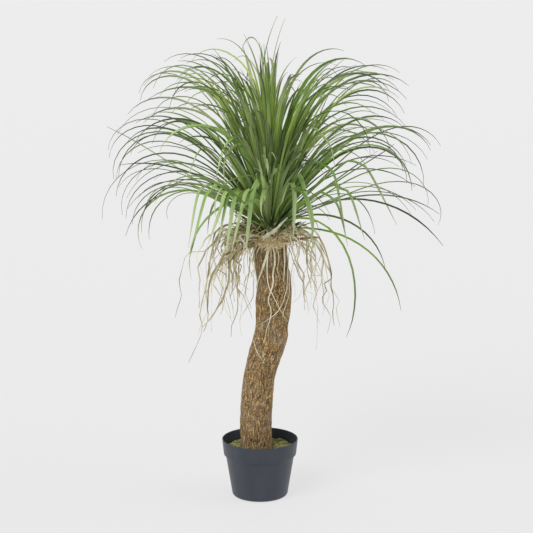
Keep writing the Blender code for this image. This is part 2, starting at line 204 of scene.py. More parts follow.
camera = {
    "place": (0.0136, -3.4, 1.175),
    "pitch": 11.43,
    "focalPixels": 1694.4,
    "framePixels": 533,
    "sensor": 36,
}
studio = {
    "floorSize": 260,
    "card": ("#767676", "#787878"),
    "fromBelow": 0.634,
    "zenith": 0.36,
    "horizon": 0.86,
    "frontShare": 0.62,
    "suns": (  # direction that the light comes from, strength, width in degrees
        ((-0.8, -1.0, 1.1), 1.5, 35),
        ((1.0, -0.1, 0.7), 0.6, 50),
    ),
}


def setUpStudio():
    bpy.ops.object.camera_add(location=camera["place"], rotation=(math.radians(90 - camera["pitch"]), 0, 0))
    eye = bpy.context.object
    eye.data.sensor_width = camera["sensor"]
    eye.data.lens = camera["focalPixels"] * camera["sensor"] / camera["framePixels"]
    bpy.context.scene.camera = eye

    bpy.ops.mesh.primitive_plane_add(size=studio["floorSize"], location=(0, 0, 0))
    floor = bpy.context.object
    floor.name = "studioFloor"
    # opal acrylic of a light table: matt, and lit from below too, so shadows on it stay faint
    opal = startMaterial("opalAcrylicTable")
    mottle = addNode(opal, "TexNoise", {"Scale": 0.6, "Detail": 2.0})
    tone = addNode(opal, "ValToRGB", {"Fac": mottle}, stops=zip((0.3, 0.7), studio["card"]))
    skin = {"Base Color": tone, "Roughness": 0.95, "Emission Color": paint("#ffffff")}
    skin["Emission Strength"] = studio["fromBelow"]
    floor.data.materials.append(finishMaterial(opal, addNode(opal, "BsdfPrincipled", skin)))

    # a room that is brightest at the sides and darker overhead and behind the camera
    room = bpy.data.worlds.new("softRoom")
    room.use_nodes = True
    room.node_tree.nodes.clear()
    way = addNode(room, "SeparateXYZ", {"Vector": addNode(room, "TexCoord").outputs["Generated"]})
    high = addNode(room, "Math", {0: way.outputs["Z"]}, operation="ABSOLUTE")
    low = addNode(room, "MapRange", {"Value": high}, span=(0.0, 1.0, studio["horizon"], studio["zenith"]))
    front = addNode(room, "MapRange", {"Value": way.outputs["Y"]}, span=(-1.0, -0.2, studio["frontShare"], 1.0))
    bright = addNode(room, "Math", {0: low, 1: front}, operation="MULTIPLY")
    glow = addNode(room, "Background", {"Color": (1, 1, 1, 1), "Strength": bright})
    addNode(room, "OutputWorld", {"Surface": glow})
    bpy.context.scene.world = room
    for source, strength, wide in studio["suns"]:
        bpy.ops.object.light_add(type="SUN", location=Vector(source) * 3)
        sun = bpy.context.object
        sun.data.energy = strength
        sun.data.angle = math.radians(wide)
        sun.rotation_euler = Vector(source).to_track_quat("Z", "Y").to_euler()
    bpy.context.scene.view_settings.view_transform = "Standard"
    print("stage: studio ready")


# Pot

pot = {
    "sides": 176,
    "height": 0.122,
    "rimRadius": 0.079,
    "wall": 0.002,
    "floor": 0.003,
    "bandHeight": 0.033,
    "bandFootRadius": 0.0757,
    "bandBevel": 0.0012,
    "bodyTopRadius": 0.0714,
    "bodyFootRadius": 0.0585,
    "fillet": 0.007,
    "slates": ("#2f343e", "#383d48"),  # plain and worn
    "dust": "#5a5d64",
}


def arc(centreRadius, centreHeight, size, start, end, steps):
    turns = [math.radians(start + (end - start) * i / steps) for i in range(steps + 1)]
    return [(centreRadius + size * math.cos(t), centreHeight + size * math.sin(t)) for t in turns]


def climb(start, end, steps):
    # the (radius, height) places after the start, up to the end
    rise, run = end[1] - start[1], end[0] - start[0]
    return [(start[0] + run * i / steps, start[1] + rise * i / steps) for i in range(1, steps + 1)]


def potRings():
    # from the foot up the outside, over the lip, and down the inside to the floor
    bandFoot = pot["height"] - pot["bandHeight"]
    foot, fillet, bevel, wall = pot["bodyFootRadius"], pot["fillet"], pot["bandBevel"], pot["wall"]
    body, band, rim, lip = pot["bodyTopRadius"], pot["bandFootRadius"], pot["rimRadius"], wall / 2
    rings = arc(foot - fillet, fillet, fillet, -90, 0, 8)
    rings += climb((foot, fillet), (body, bandFoot - 0.002), 6)
    rings += [(body + 0.0004, bandFoot - 0.0006), (body + 0.0012, bandFoot)]  # the hollow under the band
    rings += arc(band - bevel, bandFoot + bevel, bevel, -80, 0, 5)
    rings += climb((band, bandFoot + bevel), (rim, pot["height"] - lip), 4)
    rings += arc(rim - lip, pot["height"] - lip, lip, 20, 160, 6)
    rings += [(rim - wall, pot["height"] - 2 * lip), (band - wall, bandFoot + bevel)]
    rings += [(body - wall + 0.0006, bandFoot - 0.001), (body - wall, bandFoot - 0.0025)]
    rings += [(foot - wall, pot["floor"] + 0.6 * fillet), (foot - fillet, pot["floor"])]
    return rings


def mouldedPolypropylene():
    # Injection-moulded polypropylene, coloured right through: a satin skin with a fine orange
    # peel, a little paler where it was handled and dusty near the floor
    plastic = startMaterial("mouldedPolypropylene")
    place = addNode(plastic, "TexCoord").outputs["Object"]
    stretched = addNode(plastic, "Mapping", {"Vector": place, "Scale": (1, 1, 0.25)})
    cloud = {"Vector": stretched, "Scale": 1 / 0.035, "Detail": 5.0, "Roughness": 0.6}
    worn = addNode(plastic, "TexNoise", cloud)
    speck = addNode(plastic, "TexNoise", {"Vector": place, "Scale": 1 / 0.0022, "Detail": 3.0})
    peel = addNode(plastic, "TexNoise", {"Vector": place, "Scale": 1 / 0.0009, "Detail": 2.0})
    skin = addNode(plastic, "ValToRGB", {"Fac": worn}, stops=zip((0.32, 0.72), pot["slates"]))
    height = addNode(plastic, "SeparateXYZ", {"Vector": place}).outputs["Z"]
    low = addNode(plastic, "MapRange", {"Value": height}, span=(0.0, 0.03, 0.1, 0.0))
    grit = addNode(plastic, "MapRange", {"Value": speck}, span=(0.48, 0.72, 0.0, 1.0))
    share = addNode(plastic, "Math", {0: low, 1: grit}, operation="MULTIPLY")
    dusty = addNode(plastic, "Mix", {0: share, 6: skin, 7: paint(pot["dust"])}, data_type="RGBA")
    gloss = addNode(plastic, "MapRange", {"Value": worn}, span=(0.0, 1.0, 0.34, 0.5))
    bumps = addNode(plastic, "Bump", {"Height": peel, "Strength": 0.25, "Distance": 0.0002})
    skin = {"Base Color": dusty.outputs[2], "Roughness": gloss, "Normal": bumps, "IOR": 1.49}
    return finishMaterial(plastic, addNode(plastic, "BsdfPrincipled", skin))


def makePot():
    piece = riseInRings("nurseryPot", pot["sides"], potRings())
    return finishPiece(piece, mouldedPolypropylene(), "pot", 40)


# Soil and moss

moss = {
    "sides": 120,
    "low": 0.0968,
    "thickness": 0.0045,
    "relief": 0.0028,
    "lumpsPerMetre": 60,
    "inner": 0.0325,
    "innerX": -0.0075,
    "outer": 0.0735,
    "across": 26,
    "fades": (0.15, 0.05),  # share of the bed that slopes down to the trunk and to the wall
    "crumb": 0.0005,
    "crumbsPerMetre": 420,
    "clumpRise": 0.0028,
    "tufts": 3400,
    "tuftHeight": 0.0030,
    "tuftSizes": (0.55, 1.15),
    "tuftSunk": 0.0012,
    "blades": 7,
    "bladeRadius": 0.00062,
    "bladeSpread": 0.0015,
    "bladeLean": 38,
    "margins": (0.002, 0.0025),  # bare edge at the trunk and at the wall
    "seed": 21,
    "tones": ((0.0, "#6f694f"), (0.25, "#8a865c"), (0.5, "#a8aa66"), (0.75, "#ced28a"), (1.0, "#e8e9b6")),
    "clumpsPerMetre": 105,
    "gapBelow": -0.06,
}


def mossSurface(x, y):
    # the height of the moss bed, the same lumps as in the frame
    top, lumps = moss["low"] + moss["thickness"], moss["lumpsPerMetre"]
    return top + moss["relief"] * (noiseAt(x, y, top, lumps) + noiseAt(x, y, top, 2.3 * lumps) / 2)


def mossClump(x, y):
    # above 0 in a clump, below 0 in the gaps between the clumps
    clumps = moss["clumpsPerMetre"]
    return noiseAt(x, y, 5, clumps) + 0.4 * noiseAt(x, y, 2, 2.4 * clumps)


def mossPlace(out, share, margins=(0, 0)):
    # from the trunk's side of the bed at 0 to the pot's wall at 1
    inner = Vector((moss["innerX"], 0, 0)) + out * (moss["inner"] + margins[0])
    return inner.lerp(out * (moss["outer"] - margins[1]), share)


def cushionMoss():
    # Dried cushion moss: matt, tufted, olive with yellow tips, with painted shade darkening the gaps between
    # the clumps
    fibre = startMaterial("driedCushionMoss")
    place = addNode(fibre, "TexCoord").outputs["Object"]
    look = addNode(fibre, "Attribute", attribute_name="tuftToneAndGapShade")
    mottle = addNode(fibre, "TexNoise", {"Vector": place, "Scale": 1 / 0.004, "Detail": 4.0, "Roughness": 0.7})
    sway = addNode(fibre, "MapRange", {"Value": mottle}, span=(0.3, 0.7, -0.22, 0.22))
    tone = addNode(fibre, "Math", {0: look.outputs["Fac"], 1: sway}, operation="ADD")
    colour = addNode(fibre, "ValToRGB", {"Fac": tone}, stops=moss["tones"])
    tiny = addNode(fibre, "TexNoise", {"Vector": place, "Scale": 1 / 0.0006, "Detail": 2.0})
    bumps = addNode(fibre, "Bump", {"Height": tiny, "Strength": 0.6, "Distance": 0.0004})
    skin = {"Base Color": colour, "Roughness": 0.95, "Normal": bumps}
    return finishMaterial(fibre, addNode(fibre, "BsdfPrincipled", skin))


def setTone(piece, name, values):
    layer = piece.data.attributes.new(name, "FLOAT", "POINT")
    layer.data.foreach_set("value", values)


def setLook(piece, values):
    # tone, paleness, back, and blueness or share of brown: the same all over the piece
    look = piece.data.color_attributes.new("bladeLook", "FLOAT_COLOR", "CORNER")
    look.data.foreach_set("color", list(values) * len(look.data))


def makeMossBed():
    # rings of radius 1 to 2 that are then spread between the trunk and the pot's wall
    across = [(1 + i / moss["across"], 1.0) for i in range(moss["across"] + 1)]
    rings = [(1.0, 0.0)] + across + [(2.0, 0.0)]
    bpy.ops.mesh.primitive_circle_add(vertices=moss["sides"], radius=1, location=(0, 0, 0))
    piece = bpy.context.object
    piece.name = "mossBed"
    editOnly(piece, "EDGE")
    extrudeThrough(rings + rings[:1])
    bpy.ops.mesh.select_all(action="SELECT")
    bpy.ops.mesh.remove_doubles(threshold=0.0001)
    bpy.ops.object.mode_set(mode="OBJECT")
    tones = []
    for vertex in piece.data.vertices:
        x, y, z = vertex.co
        radius = math.hypot(x, y)
        out = Vector((x / radius, y / radius, 0))
        place = mossPlace(out, radius - 1)
        height = moss["low"]
        if z > 0.5:
            edge = smooth((radius - 1) / moss["fades"][0]) * smooth((2 - radius) / moss["fades"][1])
            rim = moss["low"] + 0.4 * moss["thickness"]
            crumb = moss["crumb"] * noiseAt(place.x, place.y, 3, moss["crumbsPerMetre"])
            clump = moss["clumpRise"] * max(-0.5, mossClump(place.x, place.y))
            height = rim + (mossSurface(place.x, place.y) - rim + crumb + clump) * edge
        vertex.co = (place.x, place.y, height)
        # painted shade: the bed is darker in the gaps between the clumps
        tones.append(0.12 + 0.3 * mossClump(place.x, place.y))
    setTone(piece, "tuftToneAndGapShade", tones)
    facesOut(piece)
    return piece


def makeTuftTemplate():
    # a fan of narrow cones round an upright one, which is copied over the whole bed
    blades = []
    for number in range(moss["blades"]):
        turn = 2 * math.pi * number / (moss["blades"] - 1)
        aside = moss["bladeSpread"] if number else 0.0
        bpy.ops.mesh.primitive_cone_add(
            vertices=3,
            radius1=moss["bladeRadius"],
            radius2=0.0,
            depth=moss["tuftHeight"],
            location=(aside * math.cos(turn), aside * math.sin(turn), 0.36 * moss["tuftHeight"]),
            rotation=(0, math.radians(moss["bladeLean"]) if number else 0.0, turn),
        )
        bpy.ops.object.transform_apply()
        blades.append(bpy.context.object)
    return joinCopies(blades, "tuftTemplate")


def makeMossTufts():
    rng = random.Random(moss["seed"])
    template = makeTuftTemplate()
    corners = np.array([tuple(v.co) for v in template.data.vertices])
    copies = []
    while len(copies) < moss["tufts"]:
        turn = rng.uniform(0, 2 * math.pi)
        share = math.sqrt(rng.random())
        out = Vector((math.cos(turn), math.sin(turn), 0))
        place = mossPlace(out, share, moss["margins"])
        clump = mossClump(place.x, place.y)
        if clump < moss["gapBelow"] * rng.uniform(0.4, 1.6):
            continue
        height = mossSurface(place.x, place.y) + moss["clumpRise"] * clump - moss["tuftSunk"]
        size = rng.uniform(*moss["tuftSizes"])
        spin = rng.uniform(0, 2 * math.pi)
        tuft = template.copy()
        tuft.data = template.data.copy()
        bpy.context.scene.collection.objects.link(tuft)
        c, s = math.cos(spin) * size, math.sin(spin) * size
        turned = corners @ np.array([[c, s, 0], [-s, c, 0], [0, 0, size * rng.uniform(0.7, 1.1)]])
        turned += (place.x, place.y, height)
        tuft.data.vertices.foreach_set("co", turned.ravel())
        # the clump term paints tufts towards the gaps darker, as shade
        patch = 0.5 + 0.35 * noiseAt(place.x, place.y, 5, 55) + 0.75 * clump
        tip = corners[:, 2] / moss["tuftHeight"]
        bright = 0.66 * patch + 0.3 * tip + rng.uniform(-0.14, 0.24)
        setTone(tuft, "tuftToneAndGapShade", bright)
        copies.append(tuft)
    bpy.data.objects.remove(template)
    return joinCopies(copies, "mossTufts")


def dressSoil():
    # Peat potting soil: nearly black, crumbly, seen only where the moss leaves a gap
    peat = startMaterial("peatSoil")
    place = addNode(peat, "TexCoord").outputs["Object"]
    crumb = addNode(peat, "TexNoise", {"Vector": place, "Scale": 1 / 0.003, "Detail": 6.0, "Roughness": 0.7})
    colour = addNode(peat, "ValToRGB", {"Fac": crumb}, stops=((0.3, "#1a1410"), (0.7, "#3b2e22")))
    bumps = addNode(peat, "Bump", {"Height": crumb, "Strength": 0.8, "Distance": 0.001})
    skin = {"Base Color": colour, "Roughness": 0.97, "Normal": bumps}
    finishMaterial(peat, addNode(peat, "BsdfPrincipled", skin))
    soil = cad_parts["soil"]
    for place in soil.material_slots:
        place.material = peat
    if not soil.material_slots:
        soil.data.materials.append(peat)


# Trunk

bark = {
    "sides": 216,
    "rings": 400,
    "relief": 0.0011,
    "ringsPerMetre": 30,
    "fibre": 0.0008,
    "fibres": ((17, 75, 0.65), (27, 290, 0.7)),  # how fine round the trunk and upwards, and their share
    # the relief moves the tone: lighter on the fibres' ridges, darker in the crevices between them as painted
    # shade
    "tone": (0.455, 0.95),  # middle, and how far the relief moves it
    "tones": (
        (0.0, "#3a2c1a"),
        (0.3, "#6a5231"),
        (0.5, "#8b6f45"),
        (0.7, "#a5885a"),
        (0.88, "#c2a677"),
        (1.0, "#d8c59c"),
    ),
    "grey": "#8b8474",
    "rust": "#85602f",
}


def trunkAt(height):
    # sideways centre and radius at a height, eased between the stations
    stations = stem["stations"]
    if height <= stations[0][0]:
        return stations[0][1], stations[0][2] / 2
    if height >= stations[-1][0]:
        return stations[-1][1], stations[-1][2] / 2
    i = max(k for k in range(len(stations) - 1) if stations[k][0] <= height)
    z0, z1 = stations[i][0], stations[i + 1][0]
    share = (height - z0) / (z1 - z0)
    before = stations[max(0, i - 1)]
    after = stations[min(len(stations) - 1, i + 2)]
    values = []
    for part in (1, 2):
        a, b = stations[i][part], stations[i + 1][part]
        leave = (b - before[part]) / (z1 - before[0]) * (z1 - z0)
        arrive = (after[part] - a) / (after[0] - z0) * (z1 - z0)
        values.append(curved(share, a, b, leave, arrive))
    return values[0], values[1] / 2


def fibreRelief(x, y, z):
    # -1 to 1 on the trunk's unit circle: short upright fibres that wander a little
    wander = 1.4 * noiseAt(3 * x, 3 * y, 16 * z)
    (a, b, longShare), (c, d, shortShare) = bark["fibres"]
    long = noiseAt(a * x + wander, a * y + wander, b * z)
    short = noiseAt(c * x, c * y, d * z + wander)
    return longShare * long + shortShare * short


def trunkPoint(turn, height, proud=0.0):
    centre, radius = trunkAt(height)
    x, y = math.cos(turn), math.sin(turn)
    grain = noiseAt(2.2 * x, 2.2 * y, bark["ringsPerMetre"] * height)
    knots = noiseAt(1.1 * x, 1.1 * y, 1.8 * bark["ringsPerMetre"] * height + 7)
    fade = smooth((height - stem["barkStart"]) / 0.02) * smooth((stem["top"] - height) / 0.03)
    reach = radius + fade * bark["relief"] * (grain + knots) + proud
    return Vector((centre + x * reach, y * reach, height))


def fibrousBark():
    # Fibrous bark of a grass tree's stem: dry, matt, tan ridges with painted shade darkening the gaps between
    # the fibres, greyer in patches
    fibre = startMaterial("fibrousBark")
    place = addNode(fibre, "TexCoord").outputs["Object"]
    look = addNode(fibre, "Attribute", attribute_name="barkToneAndCreviceShade")
    fine = addNode(fibre, "Mapping", {"Vector": place, "Scale": (1, 1, 0.38)})
    fleck = addNode(fibre, "TexNoise", {"Vector": fine, "Scale": 1 / 0.0014, "Detail": 4.0, "Roughness": 0.65})
    hue = addNode(fibre, "TexNoise", {"Vector": fine, "Scale": 1 / 0.006, "Detail": 3.0, "Roughness": 0.7})
    patch = addNode(fibre, "TexNoise", {"Vector": place, "Scale": 1 / 0.03, "Detail": 3.0})
    sway = addNode(fibre, "MapRange", {"Value": fleck}, span=(0.3, 0.7, -0.38, 0.38))
    tone = addNode(fibre, "Math", {0: look.outputs["Fac"], 1: sway}, operation="ADD")
    plain = addNode(fibre, "ValToRGB", {"Fac": tone}, stops=bark["tones"])
    rust = addNode(fibre, "MapRange", {"Value": hue}, span=(0.5, 0.66, 0.0, 0.42))
    colour = addNode(fibre, "Mix", {0: rust, 6: plain, 7: paint(bark["rust"])}, data_type="RGBA").outputs[2]
    grey = addNode(fibre, "MapRange", {"Value": patch}, span=(0.45, 0.7, 0.0, 0.34))
    aged = addNode(fibre, "Mix", {0: grey, 6: colour, 7: paint(bark["grey"])}, data_type="RGBA").outputs[2]
    bumps = addNode(fibre, "Bump", {"Height": fleck, "Strength": 0.7, "Distance": 0.0006})
    skin = {"Base Color": aged, "Roughness": 0.88, "Normal": bumps}
    return finishMaterial(fibre, addNode(fibre, "BsdfPrincipled", skin))


def makeTrunk():
    # a plain cylinder, cut into rings and laid on the trunk's bends, with the fibres raised
    bpy.ops.mesh.primitive_cylinder_add(vertices=bark["sides"], radius=1, depth=1, location=(0, 0, 0.5))
    piece = bpy.context.object
    piece.name = "trunkBark"
    bpy.ops.object.transform_apply()
    editOnly(piece, "EDGE")
    bpy.ops.mesh.select_all(action="DESELECT")
    bpy.ops.object.mode_set(mode="OBJECT")
    for edge in piece.data.edges:
        low, high = (piece.data.vertices[v].co.z for v in edge.vertices)
        edge.select = abs(high - low) > 0.5  # only the upright ones
    bpy.ops.object.mode_set(mode="EDIT")
    bpy.ops.mesh.subdivide_edgering(number_cuts=bark["rings"], interpolation="LINEAR")
    bpy.ops.object.mode_set(mode="OBJECT")
    tones = []
    for vertex in piece.data.vertices:
        x, y, z = vertex.co
        turn = math.atan2(y, x)
        height = stem["foot"] + (stem["top"] - stem["foot"]) * z
        relief = fibreRelief(x, y, height)
        shown = smooth((height - 0.09) / 0.01) * smooth((stem["top"] - height) / 0.01)
        vertex.co = trunkPoint(turn, height, bark["fibre"] * relief * shown)
        # painted shade: the tone follows the raised fibres, darker in the crevices
        tones.append(bark["tone"][0] + bark["tone"][1] * relief)
    setTone(piece, "barkToneAndCreviceShade", tones)
    return finishPiece(piece, fibrousBark(), "trunk", 180)


# Blades: one strip, modelled once for each count of rings, that every leaf and dry strip is a copy of


def makeBladeTemplate(segments):
    # a flat diamond, extruded one unit for each ring: X is across, +Y the groove, -Y the keel
    bpy.ops.mesh.primitive_circle_add(vertices=4, radius=1, fill_type="NGON", location=(0, 0, 0))
    blade = bpy.context.object
    blade.name = f"bladeTemplate{segments}"
    editOnly(blade, "FACE")
    for _ in range(segments):
        bpy.ops.mesh.extrude_region_move(TRANSFORM_OT_translate={"value": (0, 0, 1)})
    bpy.ops.object.mode_set(mode="OBJECT")
    facesOut(blade)
    data = blade.data
    while data.uv_layers:
        data.uv_layers.remove(data.uv_layers[0])
    data.uv_layers.new(name="bladeMap")
    data.color_attributes.new("bladeLook", "FLOAT_COLOR", "CORNER")
    across, look = data.uv_layers["bladeMap"], data.color_attributes["bladeLook"]
    for face in data.polygons:
        for corner in face.loop_indices:
            x, y, z = data.vertices[data.loops[corner].vertex_index].co
            across.data[corner].uv = (0.5 + 0.5 * x, z / segments)
            look.data[corner].color = (0, 0, 1.0 if face.normal.y < -0.1 else 0.0, 1)
    return blade


def layBlade(template, stations, tone, pale, blue=0.0):
    # stations: place, side, up, width, groove depth and thickness of each ring
    blade = template.copy()
    blade.data = template.data.copy()
    bpy.context.scene.collection.objects.link(blade)
    for vertex in blade.data.vertices:
        x, y, z = vertex.co
        place, side, up, width, groove, thick = stations[round(z)]
        if abs(x) > 0.5:
            vertex.co = place + side * (math.copysign(width / 2, x))
        else:
            vertex.co = place - up * (groove if y > 0 else groove + thick)
    look = blade.data.color_attributes["bladeLook"]
    values = np.empty(4 * len(look.data), dtype=np.float32)
    look.data.foreach_get("color", values)
    values[0::4] = tone
    values[1::4] = pale
    values[3::4] = blue
    look.data.foreach_set("color", values)
    return blade


def smoothPath(points, count, slack=1.0):
    # a curve through the points, read at even steps along its length; less slack, sharper bends
    points = [Vector(p) for p in points]
    ends = [2 * points[0] - points[1]] + points + [2 * points[-1] - points[-2]]
    fine = []
    for a, b, c, d in zip(ends, ends[1:], ends[2:], ends[3:]):
        for step in range(8):
            t = step / 8
            fine.append(curved(t, b, c, (c - a) * slack / 2, (d - b) * slack / 2))
    fine.append(points[-1])
    reach = [0.0]
    for a, b in zip(fine, fine[1:]):
        reach.append(reach[-1] + (b - a).length)
    places = []
    for i in range(count + 1):
        goal = reach[-1] * i / count
        k = max(0, min(len(fine) - 2, sum(1 for r in reach if r < goal) - 1))
        places.append(fine[k].lerp(fine[k + 1], (goal - reach[k]) / max(1e-9, reach[k + 1] - reach[k])))
    return places


def carriedFrames(places, side):
    # the side direction is carried along the curve without twisting it
    frames = []
    for i, place in enumerate(places):
        ahead = (places[min(i + 1, len(places) - 1)] - places[max(i - 1, 0)]).normalized()
        side = (side - ahead * side.dot(ahead)).normalized()
        frames.append((place, side, ahead.cross(side)))
    return frames


def rolled(side, up, turn):
    return side * math.cos(turn) + up * math.sin(turn), up * math.cos(turn) - side * math.sin(turn)


# Leaves

leaf = {
    "width": 0.0104,
    "groove": 0.0025,
    "thick": 0.0009,
    "segments": 15,
    "rootDepth": 0.006,
    "rootShare": 0.42,
    "fullFrom": 0.25,
    "narrowing": 0.42,
    "foldedWidth": 1.42,
    "heartWidth": 1.14,
    "frontDroop": 0.6,
    "frontLength": 0.88,
    "foldedSegments": 28,
    "lowest": 14,
    "groups": {"upperLeaves": 62, "outerLeaves": 34, "lowerLeaves": -90},  # least elevation of each piece
    "palerRows": range(9, 19),  # rows of loneLeaves
    "greenRows": range(2),
    "tones": (0.12, 0.62),  # a darker and a brighter kind
    "toneSpread": 0.15,
    "heartTone": 0.3,
    "lowTone": 0.12,
    "blue": (0.5, 0.35),  # middle of the low leaves, and spread
    "pale": (-0.25, 0.28),
    "mostTwist": 45,
    "mostStray": 1.6,
    "seed": 6,
    "stray": {
        "azimuth": 10,
        "elevation": 7.5,
        "droop": 14,
        "length": 0.055,
        "lateness": 0.3,
        "width": 0.1,
        "swing": 12,
        "roll": 16,
    },
}
# Tufts: azimuth, elevation, leaves, length, droop, how late the droop comes, share of the width, seed
leafTufts = (
    (22, 90, 1, 0.412, 62, 1.0, 0.75, 838),
    (166, 90, 7, 0.240, 80, 3.2, 0.77, 305),
    (302, 90, 3, 0.240, 118, 1.3, 1.00, 415),
    (259, 89, 9, 0.344, 37, 4.2, 0.93, 642),
    (34, 88, 2, 0.410, 80, 1.5, 0.74, 606),
    (11, 87, 8, 0.381, 104, 2.6, 0.66, 169),
    (302, 86, 2, 0.271, 124, 1.2, 0.79, 731),
    (54, 85, 1, 0.364, 137, 3.3, 0.44, 474),
    (261, 84, 8, 0.365, 133, 3.0, 0.78, 458),
    (230, 82, 4, 0.307, 126, 3.3, 0.53, 511),
    (207, 81, 9, 0.445, 131, 4.0, 0.79, 401),
    (3, 80, 8, 0.435, 130, 2.1, 0.76, 812),
    (136, 80, 4, 0.426, 98, 2.2, 1.00, 912),
    (219, 80, 10, 0.362, 52, 3.8, 0.65, 143),
    (107, 79, 4, 0.431, 126, 3.1, 0.84, 282),
    (132, 79, 3, 0.364, 69, 1.6, 0.81, 893),
    (237, 78, 6, 0.294, 83, 2.7, 0.79, 41),
    (68, 77, 2, 0.445, 118, 4.0, 0.61, 694),
    (145, 77, 8, 0.445, 146, 3.7, 0.68, 337),
    (226, 74, 5, 0.445, 137, 3.6, 0.80, 118),
    (298, 74, 6, 0.425, 128, 3.3, 0.92, 384),
    (27, 73, 7, 0.445, 115, 3.5, 0.77, 699),
    (338, 73, 5, 0.426, 121, 2.7, 0.52, 934),
    (307, 71, 3, 0.434, 105, 2.6, 0.95, 366),
    (223, 69, 2, 0.418, 92, 3.7, 0.56, 571),
    (75, 68, 4, 0.348, 58, 3.9, 0.90, 102),
    (287, 66, 10, 0.275, 71, 1.7, 0.85, 175),
    (339, 66, 3, 0.415, 149, 2.2, 0.51, 549),
    (160, 64, 2, 0.417, 141, 2.7, 0.78, 264),
    (175, 64, 4, 0.428, 150, 3.3, 0.43, 957),
    (270, 64, 12, 0.288, 149, 1.9, 0.54, 667),
    (52, 63, 7, 0.379, 109, 2.0, 0.43, 764),
    (193, 63, 6, 0.404, 131, 2.4, 0.74, 494),
    (333, 62, 7, 0.428, 124, 2.7, 0.84, 434),
    (51, 61, 9, 0.256, 79, 3.2, 0.72, 620),
    (295, 61, 2, 0.296, 120, 4.1, 1.00, 275),
    (6, 60, 6, 0.374, 124, 2.6, 0.87, 993),
    (239, 60, 5, 0.429, 113, 2.5, 0.42, 967),
    (326, 60, 1, 0.265, 15, 3.5, 0.94, 873),
    (168, 59, 6, 0.363, 114, 3.3, 0.94, 379),
    (61, 57, 8, 0.304, 95, 4.0, 0.42, 171),
    (237, 55, 3, 0.323, 19, 3.7, 0.65, 49),
    (197, 48, 3, 0.434, 140, 2.3, 0.42, 784),
    (332, 48, 1, 0.405, 124, 2.9, 1.00, 109),
    (3, 45, 3, 0.314, 87, 1.5, 0.58, 944),
    (234, 43, 6, 0.395, 90, 2.0, 0.42, 969),
    (320, 41, 5, 0.349, 96, 2.1, 0.42, 885),
    (173, 40, 1, 0.364, 17, 4.2, 1.00, 481),
    (358, 39, 3, 0.390, 133, 3.9, 0.60, 434),
    (261, 37, 11, 0.357, 37, 3.2, 0.53, 815),
    (160, 36, 6, 0.341, 117, 1.6, 0.59, 858),
    (213, 32, 1, 0.336, 73, 2.0, 0.85, 758),
    (141, 26, 7, 0.331, 79, 3.3, 0.50, 366),
    (169, 25, 1, 0.256, 146, 3.8, 0.50, 894),
    (18, 20, 1, 0.240, 22, 2.0, 0.65, 97),
    (107, 20, 7, 0.313, 86, 2.2, 0.76, 458),
    (74, 15, 6, 0.251, 65, 1.7, 0.56, 255),
)
# Lone leaves: azimuth, elevation at root and tip, length, lateness, share of the width, swing, roll
loneLeaves = (
    (-47, 28, -140, 0.414, 1.2, 1.00, -27, -21),
    (-25, 8, -81, 0.334, 1.4, 0.80, -12, 5),
    (18, 24, -72, 0.277, 1.0, 0.80, -77, -23),
    (24, 33, 0, 0.385, 1.5, 0.85, 57, -33),
    (-28, 34, -52, 0.388, 1.3, 0.85, 6, -10),
    (6, 26, -36, 0.338, 1.7, 0.85, -18, -2),
    (5, 95, 62, 0.409, 3.4, 0.58, 0, 0),
    (-10, 92, 66, 0.404, 3.0, 0.62, 0, 0),
    (175, 88, 58, 0.373, 4.0, 0.55, 0, 0),
    (181, 35, -124, 0.347, 2.1, 0.90, 44, 28),
    (233, 36, -54, 0.386, 2.9, 0.80, 2, -10),
    (217, 73, -76, 0.365, 2.3, 1.00, -41, 41),
    (235, 69, -134, 0.272, 1.7, 1.00, -24, 28),
    (226, 67, -106, 0.305, 0.8, 1.00, -72, -9),
    (218, 86, -141, 0.304, 2.2, 1.10, 34, 66),
    (295, 62, -149, 0.306, 1.5, 1.00, 5, 27),
    (272, 60, -140, 0.220, 2.3, 1.00, -40, -27),
    (254, 47, -66, 0.243, 1.4, 1.00, -17, 37),
    (356, 66, -93, 0.286, 2.5, 0.90, -6, 0),
)
